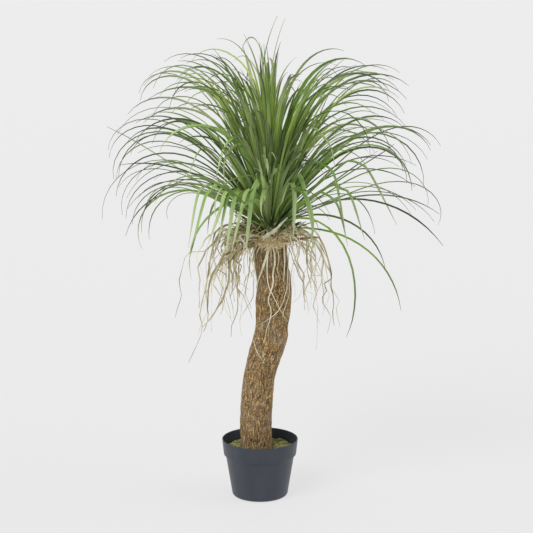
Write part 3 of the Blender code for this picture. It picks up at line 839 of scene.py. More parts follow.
# Leaves that rise, fold over and hang, and thin dead ones: share of the width, paleness, then
# the fold and the hanging stretch, in mm
foldedLeaves = (
    (0.85, 0.9, (5, -75, 753), (13, -88, 715), (19, -102, 688), (24, -115, 664)),
    (0.7, 0.8, (39, -70, 710), (30, -81, 697), (19, -92, 676), (6, -115, 634)),
    (1.0, 0.5, (99, -75, 785), (113, -86, 778), (138, -108, 750), (147, -130, 711)),
    (0.95, 0.6, (60, -90, 678), (65, -98, 673), (69, -105, 642), (66, -120, 563)),
    (0.95, 0.6, (74, -85, 694), (83, -96, 681), (93, -108, 643), (105, -130, 579)),
    (0.9, 0.4, (107, -80, 716), (133, -92, 708), (150, -104, 682), (171, -140, 565)),
    (0.5, 0.9, (112, -75, 700), (119, -83, 700), (125, -92, 696), (128, -100, 683)),
    (0.9, 0.3, (171, -60, 715), (193, -72, 713), (217, -84, 695), (270, -120, 595)),
    (0.9, 0.3, (143, -80, 672), (161, -92, 664), (179, -104, 651), (206, -140, 569)),
    (0.8, 0.3, (117, -85, 657), (140, -101, 648), (157, -117, 625), (172, -150, 559)),
    (0.45, 0.6, (-11, -80, 684), (-25, -88, 690), (-38, -97, 685), (-44, -105, 674)),
    (1.1, 0.5, (5, -85, 687), (-9, -95, 669), (-16, -105, 642), (-28, -132, 535)),
    (0.8, 0.4, (9, -90, 684), (1, -105, 678), (-5, -120, 665)),
    (1.0, 0.6, (-33, -85, 661), (-45, -98, 655), (-52, -110, 632), (-66, -145, 542)),
    (1.0, 0.7, (-55, -80, 664), (-70, -92, 651), (-77, -105, 624), (-104, -142, 551)),
    (1.0, 0.9, (-77, -70, 677), (-96, -78, 658), (-110, -86, 639), (-142, -116, 513)),
    (0.9, 0.9, (-93, -60, 667), (-113, -69, 663), (-126, -77, 638), (-142, -102, 546)),
    (0.9, 0.6, (-15, -90, 664), (-27, -100, 656), (-35, -110, 627), (-56, -139, 541)),
    (0.95, 0.9, (-42, -50, 761), (-63, -62, 752), (-76, -75, 726), (-91, -100, 661)),
    (0.6, 0.8, (-113, -40, 737), (-125, -50, 726), (-134, -60, 705), (-147, -80, 666)),
    (0.9, 0.6, (-47, -80, 664), (-60, -90, 656), (-66, -100, 636), (-81, -131, 564)),
    (0.24, 1.15, (-6, -84, 686), (-7, -92, 716)),
    (0.28, 1.15, (-46, -80, 668), (-68, -90, 701)),
    (0.26, 1.15, (-2, -90, 603), (-16, -102, 624)),
    (0.24, 1.15, (-34, -86, 598), (-52, -100, 620)),
    (0.24, 1.1, (80, -78, 732), (87, -84, 760)),
    (0.26, 1.1, (45, -90, 638), (54, -100, 670)),
)
leafTones = {
    "blade": ((0.0, "#27450a"), (0.3, "#4c7a10"), (0.55, "#79ad1c"), (0.8, "#a8cd3e"), (1.0, "#d8e480")),
    "blue": ((0.0, "#2c3628"), (0.3, "#465636"), (0.55, "#678350"), (0.8, "#97ab78"), (1.0, "#c2cba6")),
    "line": "#dbe4ac",
    "pale": "#9cc266",
    "paleEnd": "#e3e9bd",
    # the colour of the painted shade at the leaf bases
    "base": "#2c3320",
    "tip": "#373a30",
    "back": "#7c9c3a",
}


def direction(azimuth, elevation):
    a = math.radians(azimuth)
    e = math.radians(elevation)
    return Vector((math.cos(e) * math.cos(a), math.cos(e) * math.sin(a), math.sin(e)))


def onHub(out):
    return Vector((hub["x"], 0, hub["z"])) + Vector((out.x, out.y, hub["squash"] * out.z)) * hub["radius"]


def newLeaf(*values):
    # azimuth, elevation, its elevation at the end, length, lateness, width, and if any, swing and roll
    names = ("azimuth", "elevation", "end", "length", "lateness", "width", "swing", "roll")
    one = dict(zip(names, values + (0.0, 0.0)))
    one["root"] = onHub(direction(one["azimuth"], one["elevation"]))
    return one


def leafAngles(one, share):
    droop = (one["end"] - one["elevation"]) * share ** one["lateness"]
    return one["azimuth"] + one["swing"] * share**2, one["elevation"] + droop


def leafPlaces(one, shares, steps=24):
    fine = [one["root"]]
    for i in range(steps):
        azimuth, elevation = leafAngles(one, (i + 0.5) / steps)
        fine.append(fine[-1] + direction(azimuth, elevation) * (one["length"] / steps))
    places = []
    for share in shares:
        index = min(int(share * steps), steps - 1)
        places.append(fine[index].lerp(fine[index + 1], share * steps - index))
    return places


def widthShare(share):
    root = leaf["rootShare"] + (1 - leaf["rootShare"]) * min(1.0, share / leaf["fullFrom"])
    body = 1 - leaf["narrowing"] * smooth((share - leaf["fullFrom"]) / 0.65)
    tip = min(1.0, 4.2 * max(0.0, 1 - share) ** 0.9)
    return root * body * tip


def tuftLeaf(rng, tuftAzimuth, tuftElevation, length, droop, lateness, share):
    most = leaf["mostStray"]
    stray = {name: spread * max(-most, min(most, rng.gauss(0, 1))) for name, spread in leaf["stray"].items()}
    elevation = max(leaf["lowest"], tuftElevation + stray["elevation"])
    azimuth = tuftAzimuth + stray["azimuth"] / max(0.3, math.cos(math.radians(min(elevation, 80))))
    if elevation > 90:
        elevation = 180 - elevation
        azimuth += 180
    return newLeaf(
        azimuth,
        elevation,
        elevation - droop - stray["droop"],
        length * (1 + stray["length"]),
        lateness + stray["lateness"],
        leaf["width"] * (1 + stray["width"]) * share,
        stray["swing"],
        stray["roll"],
    )


def growLeaves():
    leaves = [newLeaf(*row[:5], row[5] * leaf["width"], *row[6:]) for row in loneLeaves]
    alone = len(leaves)
    for azimuth, elevation, count, length, droop, lateness, share, seed in leafTufts:
        rng = random.Random(seed)
        for _ in range(count):
            leaves.append(tuftLeaf(rng, azimuth, elevation, length, droop, lateness, share))
    for one in leaves[alone:]:
        if one["elevation"] > 68:
            one["width"] *= leaf["heartWidth"]
        # leaves that lean towards the front keep their ends up, so none hangs before the heart
        if -math.sin(math.radians(one["azimuth"])) > 0.72 and one["elevation"] > 45:
            one["end"] = one["elevation"] + (one["end"] - one["elevation"]) * leaf["frontDroop"]
            one["length"] *= leaf["frontLength"] if one["elevation"] < 80 else 0.97
    return leaves


def leafStations(one):
    segments = leaf["segments"]
    crowding = 1 / (1 + 0.35 * (one["lateness"] - 1))
    shares = [(i / segments) ** crowding for i in range(segments + 1)]
    stations = []
    for share, place in zip(shares, leafPlaces(one, shares)):
        azimuth, elevation = leafAngles(one, share)
        ahead = direction(azimuth, elevation)
        side = direction(azimuth + 90, 0)
        side, up = rolled(side, ahead.cross(side), math.radians(one["roll"] + one.get("twist", 0) * share))
        if share == 0:
            place = place - ahead * leaf["rootDepth"]
        width = max(0.0006, one["width"] * widthShare(share))
        size = width / leaf["width"]
        stations.append((place, side, up, width, leaf["groove"] * size, leaf["thick"] * (0.35 + 0.65 * size)))
    return stations


def foldedStations(points, width):
    # from the hub straight up to the fold, then through the hanging points
    fold = Vector(points[0])
    out = (fold - Vector((hub["x"], 0, hub["z"]))).normalized()
    root = onHub(out) - out * leaf["rootDepth"]
    rise = root.lerp(fold, 0.55) + Vector((0, 0, 0.006))
    nearFold = root.lerp(fold, 0.93)
    places = smoothPath([root, rise, nearFold] + list(points), leaf["foldedSegments"])
    stations = []
    level = out.cross(Vector((0, 0, 1))).normalized() * -1
    for i, (place, side, up) in enumerate(carriedFrames(places, level)):
        share = i / leaf["foldedSegments"]
        wide = max(0.0006, width * widthShare(share))
        size = wide / leaf["width"]
        stations.append((place, side, up, wide, leaf["groove"] * size, leaf["thick"] * (0.35 + 0.65 * size)))
    return stations


def waxyBlade():
    # Living strap leaf with a waxy skin: satin, ribbed along its length, with a paler midrib and margins that
    # are partly painted highlight, deeper and bluer at the base as painted shade, and dry and grey at the very
    # tip
    blade = startMaterial("waxyStrapLeaf")
    look = addNode(blade, "Attribute", attribute_name="bladeLook")
    parts = addNode(blade, "SeparateColor", {"Color": look.outputs["Color"]})
    tone, pale, back = (parts.outputs[i] for i in range(3))
    flat = addNode(blade, "SeparateXYZ", {"Vector": addNode(blade, "UVMap", uv_map="bladeMap").outputs["UV"]})
    across, along = flat.outputs["X"], flat.outputs["Y"]
    # ribs: about ten across the blade, each leaf with its own
    ownRibs = addNode(blade, "Math", {0: tone, 1: 61.0}, operation="MULTIPLY")
    wideRibs = addNode(blade, "Math", {0: across, 1: 10.0}, operation="MULTIPLY")
    longRibs = addNode(blade, "Math", {0: along, 1: 2.2}, operation="MULTIPLY")
    ribPlace = addNode(blade, "CombineXYZ", {0: wideRibs, 1: longRibs, 2: ownRibs})
    ribs = addNode(blade, "TexNoise", {"Vector": ribPlace, "Scale": 1.0, "Detail": 2.0})
    sway = addNode(blade, "MapRange", {"Value": ribs}, span=(0.3, 0.7, -0.26, 0.26))
    # speckle: fine pale dots in rows
    rows = addNode(blade, "Math", {0: along, 1: 170.0}, operation="MULTIPLY")
    dotPlace = addNode(blade, "CombineXYZ", {0: wideRibs, 1: rows, 2: ownRibs})
    dots = addNode(blade, "TexNoise", {"Vector": dotPlace, "Scale": 1.0, "Detail": 1.0})
    dotShare = addNode(blade, "MapRange", {"Value": dots}, span=(0.6, 0.75, 0.0, 0.22))
    swayed = addNode(blade, "Math", {0: tone, 1: sway}, operation="ADD")
    speckled = addNode(blade, "Math", {0: swayed, 1: dotShare}, operation="ADD")
    green = addNode(blade, "ValToRGB", {"Fac": speckled}, stops=leafTones["blade"])
    blue = addNode(blade, "ValToRGB", {"Fac": speckled}, stops=leafTones["blue"])
    duller = addNode(blade, "MapRange", {"Value": along}, span=(0.25, 0.72, -0.1, 0.75))
    blueShare = addNode(blade, "Math", {0: look.outputs["Alpha"], 1: duller}, operation="ADD", use_clamp=True)
    hued = addNode(blade, "Mix", {0: blueShare, 6: green, 7: blue}, data_type="RGBA").outputs[2]
    # midrib and margins: pale lines, partly the leaf's own and partly painted highlight along the edges
    fromMiddle = addNode(blade, "Math", {0: across, 1: 0.5}, operation="SUBTRACT")
    middle = addNode(blade, "Math", {0: fromMiddle}, operation="ABSOLUTE")
    rib = addNode(blade, "MapRange", {"Value": middle}, span=(0.02, 0.08, 0.5, 0.0))
    margin = addNode(blade, "MapRange", {"Value": middle}, span=(0.38, 0.48, 0.0, 0.72))
    bothLinesAndHighlight = addNode(blade, "Math", {0: rib, 1: margin}, operation="MAXIMUM")
    lineFade = addNode(blade, "MapRange", {"Value": along}, span=(0.3, 0.8, 1.0, 0.3))
    linesAndHighlight = addNode(blade, "Math", {0: bothLinesAndHighlight, 1: lineFade}, operation="MULTIPLY")
    # underside, base and tip
    backShare = addNode(blade, "Math", {0: back, 1: 0.28}, operation="MULTIPLY")
    # painted shade: each leaf is darkened towards its base, inside the head
    baseShadeShare = addNode(blade, "MapRange", {"Value": along}, span=(0.0, 0.34, 0.5, 0.0))
    tipShare = addNode(blade, "MapRange", {"Value": along}, span=(0.5, 0.92, 0.0, 0.9))
    dryness = addNode(blade, "MapRange", {"Value": look.outputs["Alpha"]}, span=(0.0, 0.5, 0.4, 1.0))
    tipShare = addNode(blade, "Math", {0: tipShare, 1: dryness}, operation="MULTIPLY")
    colour = hued
    for share, name in ((linesAndHighlight, "line"), (backShare, "back"), (baseShadeShare, "base"), (tipShare, "tip")):
        layer = {0: share, 6: colour, 7: paint(leafTones[name])}
        colour = addNode(blade, "Mix", layer, data_type="RGBA").outputs[2]
    # leaves that hang in front are paler, most of all towards their ends
    fade = addNode(blade, "MapRange", {"Value": along}, span=(0.2, 0.7, 0.35, 1.0))
    paleShare = addNode(blade, "Math", {0: pale, 1: fade}, operation="MULTIPLY")
    late = addNode(blade, "MapRange", {"Value": along}, span=(0.6, 1.0, 0.0, 1.0))
    streaked = addNode(blade, "Math", {0: late, 1: sway}, operation="ADD")
    layer = {0: streaked, 6: paint(leafTones["pale"]), 7: paint(leafTones["paleEnd"])}
    paleColour = addNode(blade, "Mix", layer, data_type="RGBA").outputs[2]
    colour = addNode(blade, "Mix", {0: paleShare, 6: colour, 7: paleColour}, data_type="RGBA").outputs[2]
    gloss = addNode(blade, "MapRange", {"Value": ribs}, span=(0.0, 1.0, 0.26, 0.5))
    bumps = addNode(blade, "Bump", {"Height": ribs, "Strength": 0.5, "Distance": 0.0004})
    skin = {"Base Color": colour, "Roughness": gloss, "Normal": bumps, "IOR": 1.42, "Specular IOR Level": 0.36}
    return finishMaterial(blade, addNode(blade, "BsdfPrincipled", skin))


def leafLook(rng, one):
    # tone, paleness and blueness: bright yellow-green at the heart, duller and bluer outwards
    upright = smooth((one["elevation"] - 45) / 45)
    low = smooth((45 - one["elevation"]) / 30)
    middle = rng.choice(leaf["tones"]) + leaf["heartTone"] * upright + leaf["lowTone"] * low
    tone = rng.gauss(middle, leaf["toneSpread"])
    blue = rng.gauss(leaf["blue"][0] * (1 - upright), leaf["blue"][1])
    pale = rng.gauss(*leaf["pale"])
    return [unit(value) for value in (tone, pale, blue)]


def makeLeafHead(leaves, finish):
    rng = random.Random(leaf["seed"] + 1)
    template = makeBladeTemplate(leaf["segments"])
    groups = {name: [] for name in leaf["groups"]}
    print("stage:", len(leaves), "leaves,", len(foldedLeaves), "folded ones")
    for number, one in enumerate(leaves):
        one = dict(one, twist=rng.uniform(-leaf["mostTwist"], leaf["mostTwist"]))
        name = next(name for name, least in leaf["groups"].items() if one["elevation"] >= least)
        tone, pale, blue = leafLook(rng, one)
        if number in leaf["palerRows"]:
            pale = rng.uniform(0.5, 0.9)
        if number in leaf["greenRows"]:
            tone, pale, blue = 0.55, 0.0, 0.1
        groups[name].append(layBlade(template, leafStations(one), tone, pale, blue))
    bpy.data.objects.remove(template)
    template = makeBladeTemplate(leaf["foldedSegments"])
    folded = []
    for share, pale, *points in foldedLeaves:
        points = [metres(point) for point in points]
        tone = unit(rng.gauss(0.7, 0.12))
        stations = foldedStations(points, share * leaf["width"] * leaf["foldedWidth"])
        folded.append(layBlade(template, stations, tone, 0.3 + 0.6 * pale, rng.uniform(0.0, 0.4)))
    groups["foldedLeaves"] = folded
    bpy.data.objects.remove(template)
    for name, blades in groups.items():
        finishPiece(joinCopies(blades, name), finish, "leaf_head", 40)


def makeHeartDome(finish):
    # the low dome of leaf bases under the leaves
    bpy.ops.mesh.primitive_uv_sphere_add(segments=72, ring_count=36, radius=hub["radius"], location=(0, 0, 0))
    dome = bpy.context.object
    dome.name = "leafBases"
    editOnly(dome, "VERT")
    bpy.ops.transform.resize(value=(1, 1, hub["squash"]), center_override=(0, 0, 0))
    bpy.ops.transform.translate(value=(hub["x"], 0, hub["z"]))
    cut = (0, 0, stem["top"] + 0.0003)
    bpy.ops.mesh.bisect(plane_co=cut, plane_no=(0, 0, 1), use_fill=True, clear_inner=True)
    bpy.ops.object.mode_set(mode="OBJECT")
    for vertex in dome.data.vertices:
        out = vertex.co - Vector((hub["x"], 0, hub["z"]))
        turn = math.atan2(out.y, out.x)
        ridge = 0.5 + 0.5 * math.cos(hub["ridges"] * turn + 5 * noiseAt(*out, 40))
        if out.z > -0.012:
            vertex.co -= out.normalized() * hub["ridgeDepth"] * ridge
    setLook(dome, (0, 0, 0, 0))
    across = dome.data.uv_layers[0]
    across.name = "bladeMap"
    # along is 0 all over, so the dome takes the painted base shade at full strength
    for corner in across.data:
        corner.uv = (corner.uv.x, 0.0)
    facesOut(dome)
    return finishPiece(dome, finish, "leaf_head", 60)


sheath = {
    "count": 64,
    "goldenAngle": 137.5,
    "azimuthStray": 6,
    "elevations": (30, 68),
    "elevationStray": 5,
    "droop": 14,
    "lengths": (0.035, 0.085),
    "widths": (0.008, 0.0125),
    "thick": 0.0009,
    "segments": 6,
    "low": 0.553,
    "high": 0.566,
    "ring": 0.018,
    "seed": 17,
}


def makeSheaths(finish):
    # short folded stubs of old leaves, all round the foot of the head
    rng = random.Random(sheath["seed"])
    template = makeBladeTemplate(sheath["segments"])
    stubs = []
    for number in range(sheath["count"]):
        share = number / sheath["count"]
        azimuth = sheath["goldenAngle"] * number + rng.gauss(0, sheath["azimuthStray"])
        lowest, highest = sheath["elevations"]
        elevation = lowest + (highest - lowest) * share + rng.gauss(0, sheath["elevationStray"])
        length, width = rng.uniform(*sheath["lengths"]), rng.uniform(*sheath["widths"])
        place = Vector((hub["x"], 0, sheath["low"] + (sheath["high"] - sheath["low"]) * share))
        place += direction(azimuth, 0) * sheath["ring"]
        stations = []
        for i in range(sheath["segments"] + 1):
            along = i / sheath["segments"]
            ahead = direction(azimuth, elevation - sheath["droop"] * along)
            side = direction(azimuth + 90, 0)
            wide = width * (0.75 + 0.25 * min(1.0, 3 * along)) * min(1.0, 0.06 + 1.3 * (1 - along))
            stations.append((place, side, ahead.cross(side), wide, 0.3 * wide, sheath["thick"]))
            place = place + ahead * (length / sheath["segments"])
        tone = unit(rng.gauss(0.3, 0.2))
        stubs.append(layBlade(template, stations, tone, 0, unit(rng.gauss(0.6, 0.3))))
    bpy.data.objects.remove(template)
    return finishPiece(joinCopies(stubs, "leafSheaths"), finish, "leaf_head", 40)


# Skirt of dry strips

skirt = {
    "low": 0.533,
    "high": 0.5605,
    "wad": 0.0085,
    "seed": 11,
    "width": 0.0042,
    "thick": 0.0009,
    "segments": 18,
    "courseSegments": 6,
    "goldenAngle": 137.5,
    "end": -92,
    "kink": 20,
    "slack": 0.4,
    "twist": 2.0,
    "trunkClearance": 0.004,
    "farClearance": 0.046,
    "looseCrinkle": 0.0012,
    "stiffCrinkle": 0.0002,
    "stiffTone": 0.9,
    "bendBy": (0.4, 0.85),
    "tries": 30,
    "gap": 0.0003,
    "tone": (0.66, 0.24),  # middle and spread
    "browns": (0, 0.4),
    "faceTones": (0.78, 1.0),
    "faceBrown": 0.2,
    "faceProud": 0.0022,
    "tones": ((0.0, "#746748"), (0.25, "#a1966e"), (0.5, "#cac49e"), (0.8, "#e5e1c8"), (1.0, "#f1eedc")),
    "brown": ((0.0, "#6e5832"), (0.3, "#a68d58"), (0.6, "#ccb47c"), (0.85, "#dcc48a"), (1.0, "#ead6a2")),
    "hairEnd": "#b3ada0",
    # bunches: strips, middle azimuth, spread, first elevation, shortest and longest, share of the width
    "bunches": (
        (12, 0, 180, (-25, 10), (0.10, 0.24), (0.9, 2.0)),
        (17, 194, 30, (-10, 45), (0.13, 0.28), (0.9, 2.1)),
        (3, -8, 24, (0, 35), (0.12, 0.27), (0.8, 1.8)),
        (11, 0, 180, (-40, 20), (0.14, 0.28), (0.18, 0.36)),
    ),
    "backBunch": (16, 105, 40, (-10, 40), (0.13, 0.27), (0.9, 2.1)),
}
# Strips that lie on the trunk's face, in mm: width, then places as (x, z)
faceStrips = (
    (7.4, (20, 546), (16, 521), (5, 485), (-2, 461), (-5, 435)),
    (3.2, (18, 542), (15, 495), (16, 471), (18, 454), (27, 435), (38, 411), (47, 392), (56, 375)),
    (4, (23, 545), (30, 519), (30, 499), (26, 480), (28, 461), (23, 444), (17, 425), (24, 404), (21, 383),
        (13, 358), (11, 342)),
    (8, (47, 550), (48, 525), (49, 499), (47, 462)),
    (3.4, (52, 547), (57, 512), (55, 480), (55, 461), (53, 445), (46, 418), (35, 399), (18, 385), (-3, 368)),
    (5.6, (10, 549), (2, 535), (-4, 521), (-6, 508)),
    (2.8, (56, 504), (58, 467), (58, 433), (53, 416), (46, 397), (51, 379)),
    (2.6, (34, 540), (38, 512), (35, 488), (39, 466)),
    (2.2, (-12, 336), (-7, 320), (1, 306), (10, 292)),
)
# Strips and roots that hang free, in mm: width, tone, then their places
hangingStrips = (
    (6, 0.85, (-10, -36, 556), (-41, -60, 566), (-23, -57, 529), (-9, -53, 491), (-7, -50, 451)),
    (4.6, 0.35, (-12, -30, 552), (-77, -50, 559), (-110, -53, 529), (-145, -59, 528), (-159, -61, 493),
        (-163, -64, 470), (-158, -67, 439), (-170, -70, 395)),
    (5, 0.45, (0, -34, 556), (-56, -54, 572), (-82, -58, 570), (-97, -62, 530), (-110, -70, 450),
        (-121, -78, 394), (-114, -82, 379), (-126, -86, 346), (-144, -90, 310)),
    (4.8, 0.8, (-6, -34, 550), (-41, -50, 553), (-67, -58, 542), (-82, -66, 507), (-107, -82, 453),
        (-112, -90, 418)),
    (9.8, 0.5, (-10, -28, 550), (-46, -40, 531), (-57, -48, 509), (-62, -56, 468), (-90, -72, 406),
        (-114, -80, 380)),
    (8.8, 0.55, (-8, -32, 548), (-44, -50, 535), (-41, -54, 502), (-44, -58, 458), (-44, -62, 412),
        (-57, -66, 383), (-59, -70, 355)),
    (5.2, 0.45, (-12, -26, 545), (-50, -40, 523), (-47, -48, 456), (-31, -52, 436), (-16, -60, 390)),
    (3, 0.4, (-10, -24, 545), (-24, -30, 479), (-33, -35, 464), (-30, -40, 444), (-42, -45, 386),
        (-37, -50, 356)),
    (3.4, 0.5, (-12, -30, 540), (-12, -50, 459), (-13, -57, 434), (-31, -63, 412), (-40, -70, 392)),
    (5, 0.3, (-8, -26, 556), (-67, -40, 583), (-85, -48, 563), (-105, -64, 527), (-107, -80, 478)),
    (4.4, 0.65, (-10, -24, 552), (-54, -40, 544), (-69, -55, 499), (-87, -62, 480), (-105, -70, 461)),
    (6.4, 0.3, (-2, -32, 558), (-44, -40, 585), (-76, -50, 580), (-90, -55, 568), (-96, -60, 543),
        (-92, -60, 517)),
    (5.8, 0.25, (-4, -30, 556), (-56, -45, 575), (-70, -55, 543), (-64, -58, 509)),
    (5, 0.6, (-6, -34, 552), (-56, -54, 562), (-76, -60, 538), (-80, -64, 505), (-72, -66, 470)),
    (6.2, 0.62, (-8, -30, 556), (-52, -48, 568), (-88, -56, 549), (-94, -60, 516), (-99, -64, 484)),
    (5.4, 0.5, (-10, -26, 552), (-60, -40, 560), (-78, -46, 536), (-75, -52, 507), (-82, -58, 470)),
    (4.8, 0.7, (-8, -28, 550), (-48, -42, 556), (-62, -50, 530), (-68, -56, 496), (-66, -60, 462)),
    (4, 0.7, (-10, -26, 550), (-70, -45, 510), (-98, -50, 467), (-97, -65, 433), (-98, -73, 401),
        (-95, -80, 368)),
    (4.6, 0.6, (46, -30, 554), (59, -50, 564), (64, -48, 535), (72, -46, 508), (88, -44, 466), (90, -42, 449),
        (110, -40, 437)),
    (5.4, 0.8, (36, -32, 558), (59, -30, 568), (85, -30, 565), (108, -30, 547), (116, -30, 505),
        (111, -30, 468), (117, -30, 402), (115, -30, 318)),
    (7, 0.4, (44, -20, 556), (62, -20, 574), (90, -20, 566), (111, -20, 548), (132, -20, 524), (142, -20, 495)),
    (3.6, 0.45, (48, -22, 552), (80, -30, 550), (90, -33, 527), (104, -37, 513), (88, -40, 478), (88, -43, 458),
        (80, -47, 432), (64, -50, 422)),
    (4.6, 0.5, (50, -14, 556), (90, -18, 566), (111, -20, 548), (132, -24, 499), (149, -28, 472),
        (133, -30, 460), (137, -32, 442), (124, -34, 426), (143, -38, 393), (138, -40, 358)),
    (3.4, 0.45, (50, -10, 554), (110, -18, 540), (132, -20, 498), (140, -26, 462), (160, -38, 423),
        (154, -44, 410), (163, -50, 372)),
    (4, 0.65, (50, -16, 552), (90, -26, 540), (108, -30, 510), (124, -33, 487), (124, -35, 464),
        (111, -40, 428)),
    (4.4, 0.7, (48, -24, 556), (69, -40, 557), (82, -43, 544), (69, -45, 508), (64, -48, 477), (66, -50, 456)),
    (4.6, 0.55, (50, -6, 554), (100, 0, 552), (125, 0, 518), (131, 0, 499), (127, 0, 456), (132, 0, 395)),
    (4.2, 0.5, (48, -18, 556), (95, -30, 548), (113, -32, 505), (104, -33, 475), (118, -35, 445),
        (110, -36, 410), (124, -38, 375)),
    (9.2, 0.95, (6, -52, 556), (30, -61, 574), (44, -67, 589), (56, -72, 602)),
)


def stripCourse(rng, azimuth, bunch):
    # from the wad outwards, then straight down, with a kink at each step
    start, length = rng.uniform(*bunch[3]), rng.uniform(*bunch[4])
    bendBy = rng.uniform(*skirt["bendBy"])
    height = rng.uniform(skirt["low"] + 0.004, skirt["high"] - 0.004)
    ring = trunkAt(height)[1] + skirt["gap"] + 0.3 * skirt["wad"]
    places = [Vector((trunkAt(skirt["low"])[0], 0, height)) + direction(azimuth, 0) * ring]
    for i in range(skirt["courseSegments"]):
        share = (i + 0.5) / skirt["courseSegments"]
        elevation = start + (skirt["end"] - start) * smooth(share / bendBy) + rng.gauss(0, skirt["kink"])
        bend = azimuth + rng.gauss(0, skirt["kink"]) * (0.6 + 1.4 * share)
        places.append(places[-1] + direction(bend, elevation) * (length / skirt["courseSegments"]))
    return places


def isClear(places, space):
    # clear of the trunk, and inside the space of the frame's skirt
    low, high = space
    for number, (start, end) in enumerate(zip(places[1:], places[2:])):
        clearance = skirt["trunkClearance"] + skirt["farClearance"] * number / len(places)
        for step in range(4):
            point = start.lerp(end, step / 3)
            centre, radius = trunkAt(point.z)
            if math.hypot(point.x - centre, point.y) < radius + clearance:
                return False
    end = places[-1]
    return all(low[k] - 0.01 < end[k] for k in range(3)) and all(end[k] < high[k] + 0.01 for k in range(2))


def stripStations(rng, places, width, crinkle=0.0022, hair=0.82):
    # a crinkled ribbon along the places, narrowing to a hair
    segments = skirt["segments"]
    path = smoothPath(places, segments, skirt["slack"])
    phases = [rng.uniform(0, 6.3) for _ in range(6)]
    turns = [rng.uniform(1.2, 2.4) for _ in range(3)] + [rng.uniform(3.2, 5.5) for _ in range(3)]
    for i in range(2, segments + 1):
        share = i / segments
        waves = [math.sin(turns[k] * 6.3 * share + phases[k]) for k in range(6)]
        sway = Vector([waves[k] + 0.6 * waves[k + 3] for k in range(3)])
        path[i] = path[i] + sway * crinkle * smooth(share * 4)
    ahead = (path[1] - path[0]).normalized()
    side = ahead.cross(Vector((rng.uniform(-1, 1), rng.uniform(-1, 1), 0.4))).normalized()
    turn, twist = rng.uniform(-0.5, 0.5), rng.gauss(0, skirt["twist"])
    stations = []
    for i, (place, side, up) in enumerate(carriedFrames(path, side)):
        share = i / segments
        side, up = rolled(side, up, turn + twist * share)
        swell = 1 + 0.22 * math.sin(turns[0] * 19 * share + phases[1]) + rng.uniform(-0.1, 0.1)
        wide = max(0.0005, width * (1 - hair * share**1.1) * swell)
        stations.append((place, side, up, wide, 0.12 * wide, max(0.0004, skirt["thick"] * wide / width)))
    return stations


def dryStrip():
    # Dead leaf strips and aerial roots: papery, matt, cream to brown, streaked along the fibre, with patches
    # along each strip painted darker and lighter as shadow and highlight
    straw = startMaterial("dryLeafStraw")
    look = addNode(straw, "Attribute", attribute_name="bladeLook")
    base = addNode(straw, "SeparateColor", {"Color": look.outputs["Color"]}).outputs["Red"]
    flat = addNode(straw, "SeparateXYZ", {"Vector": addNode(straw, "UVMap", uv_map="bladeMap").outputs["UV"]})
    across = addNode(straw, "Math", {0: flat.outputs["X"], 1: 6.0}, operation="MULTIPLY")
    along = addNode(straw, "Math", {0: flat.outputs["Y"], 1: 3.0}, operation="MULTIPLY")
    own = addNode(straw, "Math", {0: base, 1: 83.0}, operation="MULTIPLY")
    streakPlace = addNode(straw, "CombineXYZ", {0: across, 1: along, 2: own})
    streaks = addNode(straw, "TexNoise", {"Vector": streakPlace, "Scale": 1.0, "Detail": 4.0, "Roughness": 0.7})
    sway = addNode(straw, "MapRange", {"Value": streaks}, span=(0.3, 0.7, -0.28, 0.28))
    # painted shadow and highlight: a few darker and lighter patches along each strip
    bands = addNode(straw, "Math", {0: flat.outputs["Y"], 1: 9.0}, operation="MULTIPLY")
    lightAndShadePatchPlace = addNode(straw, "CombineXYZ", {0: own, 1: bands})
    lightAndShadePatches = addNode(straw, "TexNoise", {"Vector": lightAndShadePatchPlace, "Scale": 1.0, "Detail": 1.0})
    patch = addNode(straw, "MapRange", {"Value": lightAndShadePatches}, span=(0.3, 0.7, -0.3, 0.24))
    toneWithPaintedLight = addNode(straw, "Math", {0: base, 1: patch}, operation="ADD")
    tone = addNode(straw, "Math", {0: toneWithPaintedLight, 1: sway}, operation="ADD")
    cream = addNode(straw, "ValToRGB", {"Fac": tone}, stops=skirt["tones"])
    brown = addNode(straw, "ValToRGB", {"Fac": tone}, stops=skirt["brown"])
    layer = {0: look.outputs["Alpha"], 6: cream, 7: brown}
    colour = addNode(straw, "Mix", layer, data_type="RGBA").outputs[2]
    late = addNode(straw, "MapRange", {"Value": flat.outputs["Y"]}, span=(0.7, 1.0, 0.0, 0.6))
    layer = {0: late, 6: colour, 7: paint(skirt["hairEnd"])}
    greyed = addNode(straw, "Mix", layer, data_type="RGBA").outputs[2]
    bumps = addNode(straw, "Bump", {"Height": streaks, "Strength": 0.6, "Distance": 0.0004})
    skin = {"Base Color": greyed, "Roughness": 0.82, "Normal": bumps}
    return finishMaterial(straw, addNode(straw, "BsdfPrincipled", skin))


def bunchAzimuth(rng, number, middle, spread):
    # even all round where the spread is the whole circle, otherwise round a middle
    if spread == 180:
        return skirt["goldenAngle"] * number + rng.gauss(0, 9)
    return rng.gauss(middle, spread / 1.6)


def growBunch(rng, bunch, template, space):
    strips = []
    for number in range(bunch[0]):
        for _ in range(skirt["tries"]):
            azimuth = bunchAzimuth(rng, number, *bunch[1:3])
            places = stripCourse(rng, azimuth, bunch)
            inFront = max(0.0, -math.sin(math.radians(azimuth))) ** 4
            if inFront > 0.3 and number % 4:
                break
            if isClear(places, space):
                width = skirt["width"] * rng.uniform(*bunch[5]) * (1 - 0.5 * inFront)
                tone = unit(rng.gauss(*skirt["tone"]))
                stations = stripStations(rng, places, width)
                strips.append(layBlade(template, stations, tone, 0, rng.uniform(*skirt["browns"])))
                break
    return strips


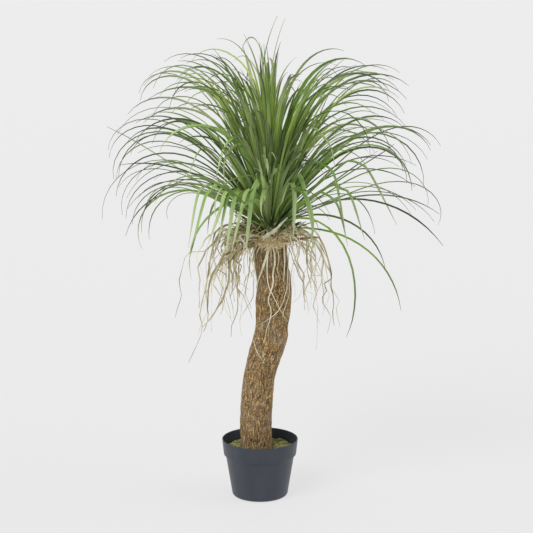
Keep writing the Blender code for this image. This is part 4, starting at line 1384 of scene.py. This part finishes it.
def makeSkirt(finish):
    ownRng = random.Random(skirt["seed"])
    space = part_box("dry_skirt")
    template = makeBladeTemplate(skirt["segments"])
    strips = []
    for bunch in skirt["bunches"]:
        strips += growBunch(ownRng, bunch, template, space)
    for width, tone, *places in hangingStrips:
        places = [metres(place) for place in places]
        crinkle = skirt["stiffCrinkle"] if tone > skirt["stiffTone"] else skirt["looseCrinkle"]
        strips.append(layBlade(template, stripStations(ownRng, places, width / 1000, crinkle), tone, 0))
    for width, *spots in faceStrips:
        places, spots = [], [metres(spot) for spot in spots]
        halves = [((a[0] + b[0]) / 2, (a[1] + b[1]) / 2) for a, b in zip(spots, spots[1:])]
        for x, z in sorted(spots + halves, key=lambda spot: -spot[1]):
            centre, radius = trunkAt(z)
            turn = -math.acos(max(-0.98, min(0.98, (x - centre) / radius)))
            places.append(trunkPoint(turn, z, skirt["faceProud"]))
        stations = faceStations(ownRng, places, width / 1000)
        strips.append(layBlade(template, stations, ownRng.uniform(*skirt["faceTones"]), 0, skirt["faceBrown"]))
    strips += growBunch(ownRng, skirt["backBunch"], template, space)
    finishPiece(joinCopies(strips, "dryStrips"), finish, "dry_skirt", 40)
    bpy.data.objects.remove(template)


def faceStations(rng, places, width):
    # flat against the trunk: the ribbon's up looks away from the trunk's centre
    segments = skirt["segments"]
    path = smoothPath(places, segments, skirt["slack"])
    stations = []
    for i, place in enumerate(path):
        ahead = (path[min(i + 1, segments)] - path[max(i - 1, 0)]).normalized()
        centre = Vector((trunkAt(place.z)[0], 0, place.z))
        up = (place - centre).normalized()
        side = up.cross(ahead).normalized()
        share = i / segments
        wide = max(0.0007, width * (1 - 0.72 * share) * rng.uniform(0.8, 1.15))
        stations.append((place, side, ahead.cross(side), wide, 0.0002, 0.0012))
    return stations


wad = {
    "sides": (120, 24),
    "tallBy": 2.6,
    "lump": 0.0018,
    "ringLook": (0.95, 0, 0, 0.9),
    "ends": 210,
    "segments": 5,
    "lengths": (0.012, 0.034),
    "widths": (0.0016, 0.0046),
    "thick": 0.0006,
    "tone": (1.0, 0.16),
    "brown": 0.75,
}


def makeWad(finish):
    # the wad of strip ends round the top of the trunk: a lumpy ring, then short ends all over it
    rng = random.Random(skirt["seed"] + 2)
    wadX = trunkAt(skirt["low"])[0]
    middle = (skirt["low"] + skirt["high"]) / 2
    hole = trunkAt(middle)[1] + skirt["gap"]
    bpy.ops.mesh.primitive_torus_add(
        major_segments=wad["sides"][0],
        minor_segments=wad["sides"][1],
        major_radius=hole + skirt["wad"] / 2,
        minor_radius=skirt["wad"] / 2,
        location=(wadX, 0, middle),
    )
    ring = bpy.context.object
    ring.name = "wadRing"
    editOnly(ring, "VERT")
    bpy.ops.transform.resize(value=(1, 1, wad["tallBy"]), center_override=(wadX, 0, middle))
    bpy.ops.object.mode_set(mode="OBJECT")
    bpy.ops.object.transform_apply()
    for vertex in ring.data.vertices:
        x, y, z = vertex.co
        out = Vector((x - wadX, y, 0)).normalized()
        vertex.co += out * wad["lump"] * noiseAt(9 * out.x, 9 * out.y, 160 * z)
    ring.data.uv_layers[0].name = "bladeMap"
    setLook(ring, wad["ringLook"])
    template = makeBladeTemplate(wad["segments"])
    ends = []
    for _ in range(wad["ends"]):
        turn = rng.uniform(0, 360)
        height = rng.uniform(skirt["low"] + 0.002, skirt["high"] + 0.008)
        out = direction(turn, 0)
        start = Vector((wadX, 0, height)) + out * (hole + skirt["wad"] * 0.6)
        along = direction(turn + rng.choice((-1, 1)) * rng.uniform(50, 95), rng.gauss(0, 22))
        length = rng.uniform(*wad["lengths"])
        mid = start + along * length * 0.5 + out * rng.uniform(0.001, 0.005)
        end = start + along * length + out * rng.uniform(-0.001, 0.006)
        path = smoothPath([start, mid, end], wad["segments"])
        width = rng.uniform(*wad["widths"])
        stations = []
        for k, (place, side, up) in enumerate(carriedFrames(path, Vector((0, 0, 1)))):
            wide = max(0.0004, width * (1 - 0.6 * k / len(path)))
            stations.append((place, side, up, wide, 0.0001, wad["thick"]))
        ends.append(layBlade(template, stations, unit(rng.gauss(*wad["tone"])), 0, wad["brown"]))
    bpy.data.objects.remove(template)
    finishPiece(joinCopies([ring] + ends, "stripWad"), finish, "dry_skirt", 50)


shag = {
    # ribbons, middle azimuth, spread, reach
    "bunches": (
        (76, 0, 180, (0.012, 0.028)),
        (46, 195, 36, (0.022, 0.070)),
        (16, -15, 28, (0.020, 0.050)),
    ),
    "segments": 8,
    "heights": (0.543, 0.576),
    "rings": (0.027, 0.036),
    "widths": (0.0018, 0.0046),
    "thick": 0.0007,
    "tone": (0.54, 0.28),
    "browns": (0.3, 1.0),
}


def makeShag(finish):
    # curved ribbons that loop out of the wad and hang over its edge, most of them on the left
    rng = random.Random(skirt["seed"] + 3)
    wadX = trunkAt(skirt["low"])[0]
    template = makeBladeTemplate(shag["segments"])
    ribbons = []
    for count, middle, spread, reaches in shag["bunches"]:
        for number in range(count):
            turn = bunchAzimuth(rng, number, middle, spread)
            out, reach = direction(turn, 0), rng.uniform(*reaches)
            sweep = direction(turn + 90, 0) * rng.gauss(0, 0.5) * reach
            start = Vector((wadX, 0, rng.uniform(*shag["heights"]))) + out * rng.uniform(*shag["rings"])
            top = start + out * reach * 0.45 + sweep * 0.3 + Vector((0, 0, reach * rng.uniform(0.0, 0.4)))
            end = start + out * reach + sweep - Vector((0, 0, reach * rng.uniform(0.2, 1.3)))
            hang = top.lerp(end, 0.55) + out * 0.12 * reach
            path = smoothPath([start, top, hang, end], shag["segments"])
            width = rng.uniform(*shag["widths"])
            stations = []
            roll = rng.gauss(0, 0.7)
            for k, (place, side, up) in enumerate(carriedFrames(path, direction(turn + 90, 0))):
                side, up = rolled(side, up, roll)
                wide = width * (1 - 0.65 * (k / shag["segments"]) ** 2)
                stations.append((place, side, up, wide, 0.1 * wide, shag["thick"]))
            tone = unit(rng.gauss(*shag["tone"]))
            ribbons.append(layBlade(template, stations, tone, 0, rng.uniform(*shag["browns"])))
    bpy.data.objects.remove(template)
    finishPiece(joinCopies(ribbons, "wadShag"), finish, "dry_skirt", 50)


def main():
    setUpStudio()
    makePot()
    dressSoil()
    print("stage: pot ready")
    mossFinish = cushionMoss()
    finishPiece(makeMossBed(), mossFinish, "moss", 60)
    finishPiece(makeMossTufts(), mossFinish, "moss", 30)
    print("stage: moss ready")
    makeTrunk()
    print("stage: trunk ready")
    leaves = growLeaves()
    green = waxyBlade()
    makeHeartDome(green)
    makeLeafHead(leaves, green)
    makeSheaths(green)
    print("stage: leaves ready")
    straw = dryStrip()
    makeWad(straw)
    makeShag(straw)
    makeSkirt(straw)
    print("stage: skirt ready")


main()
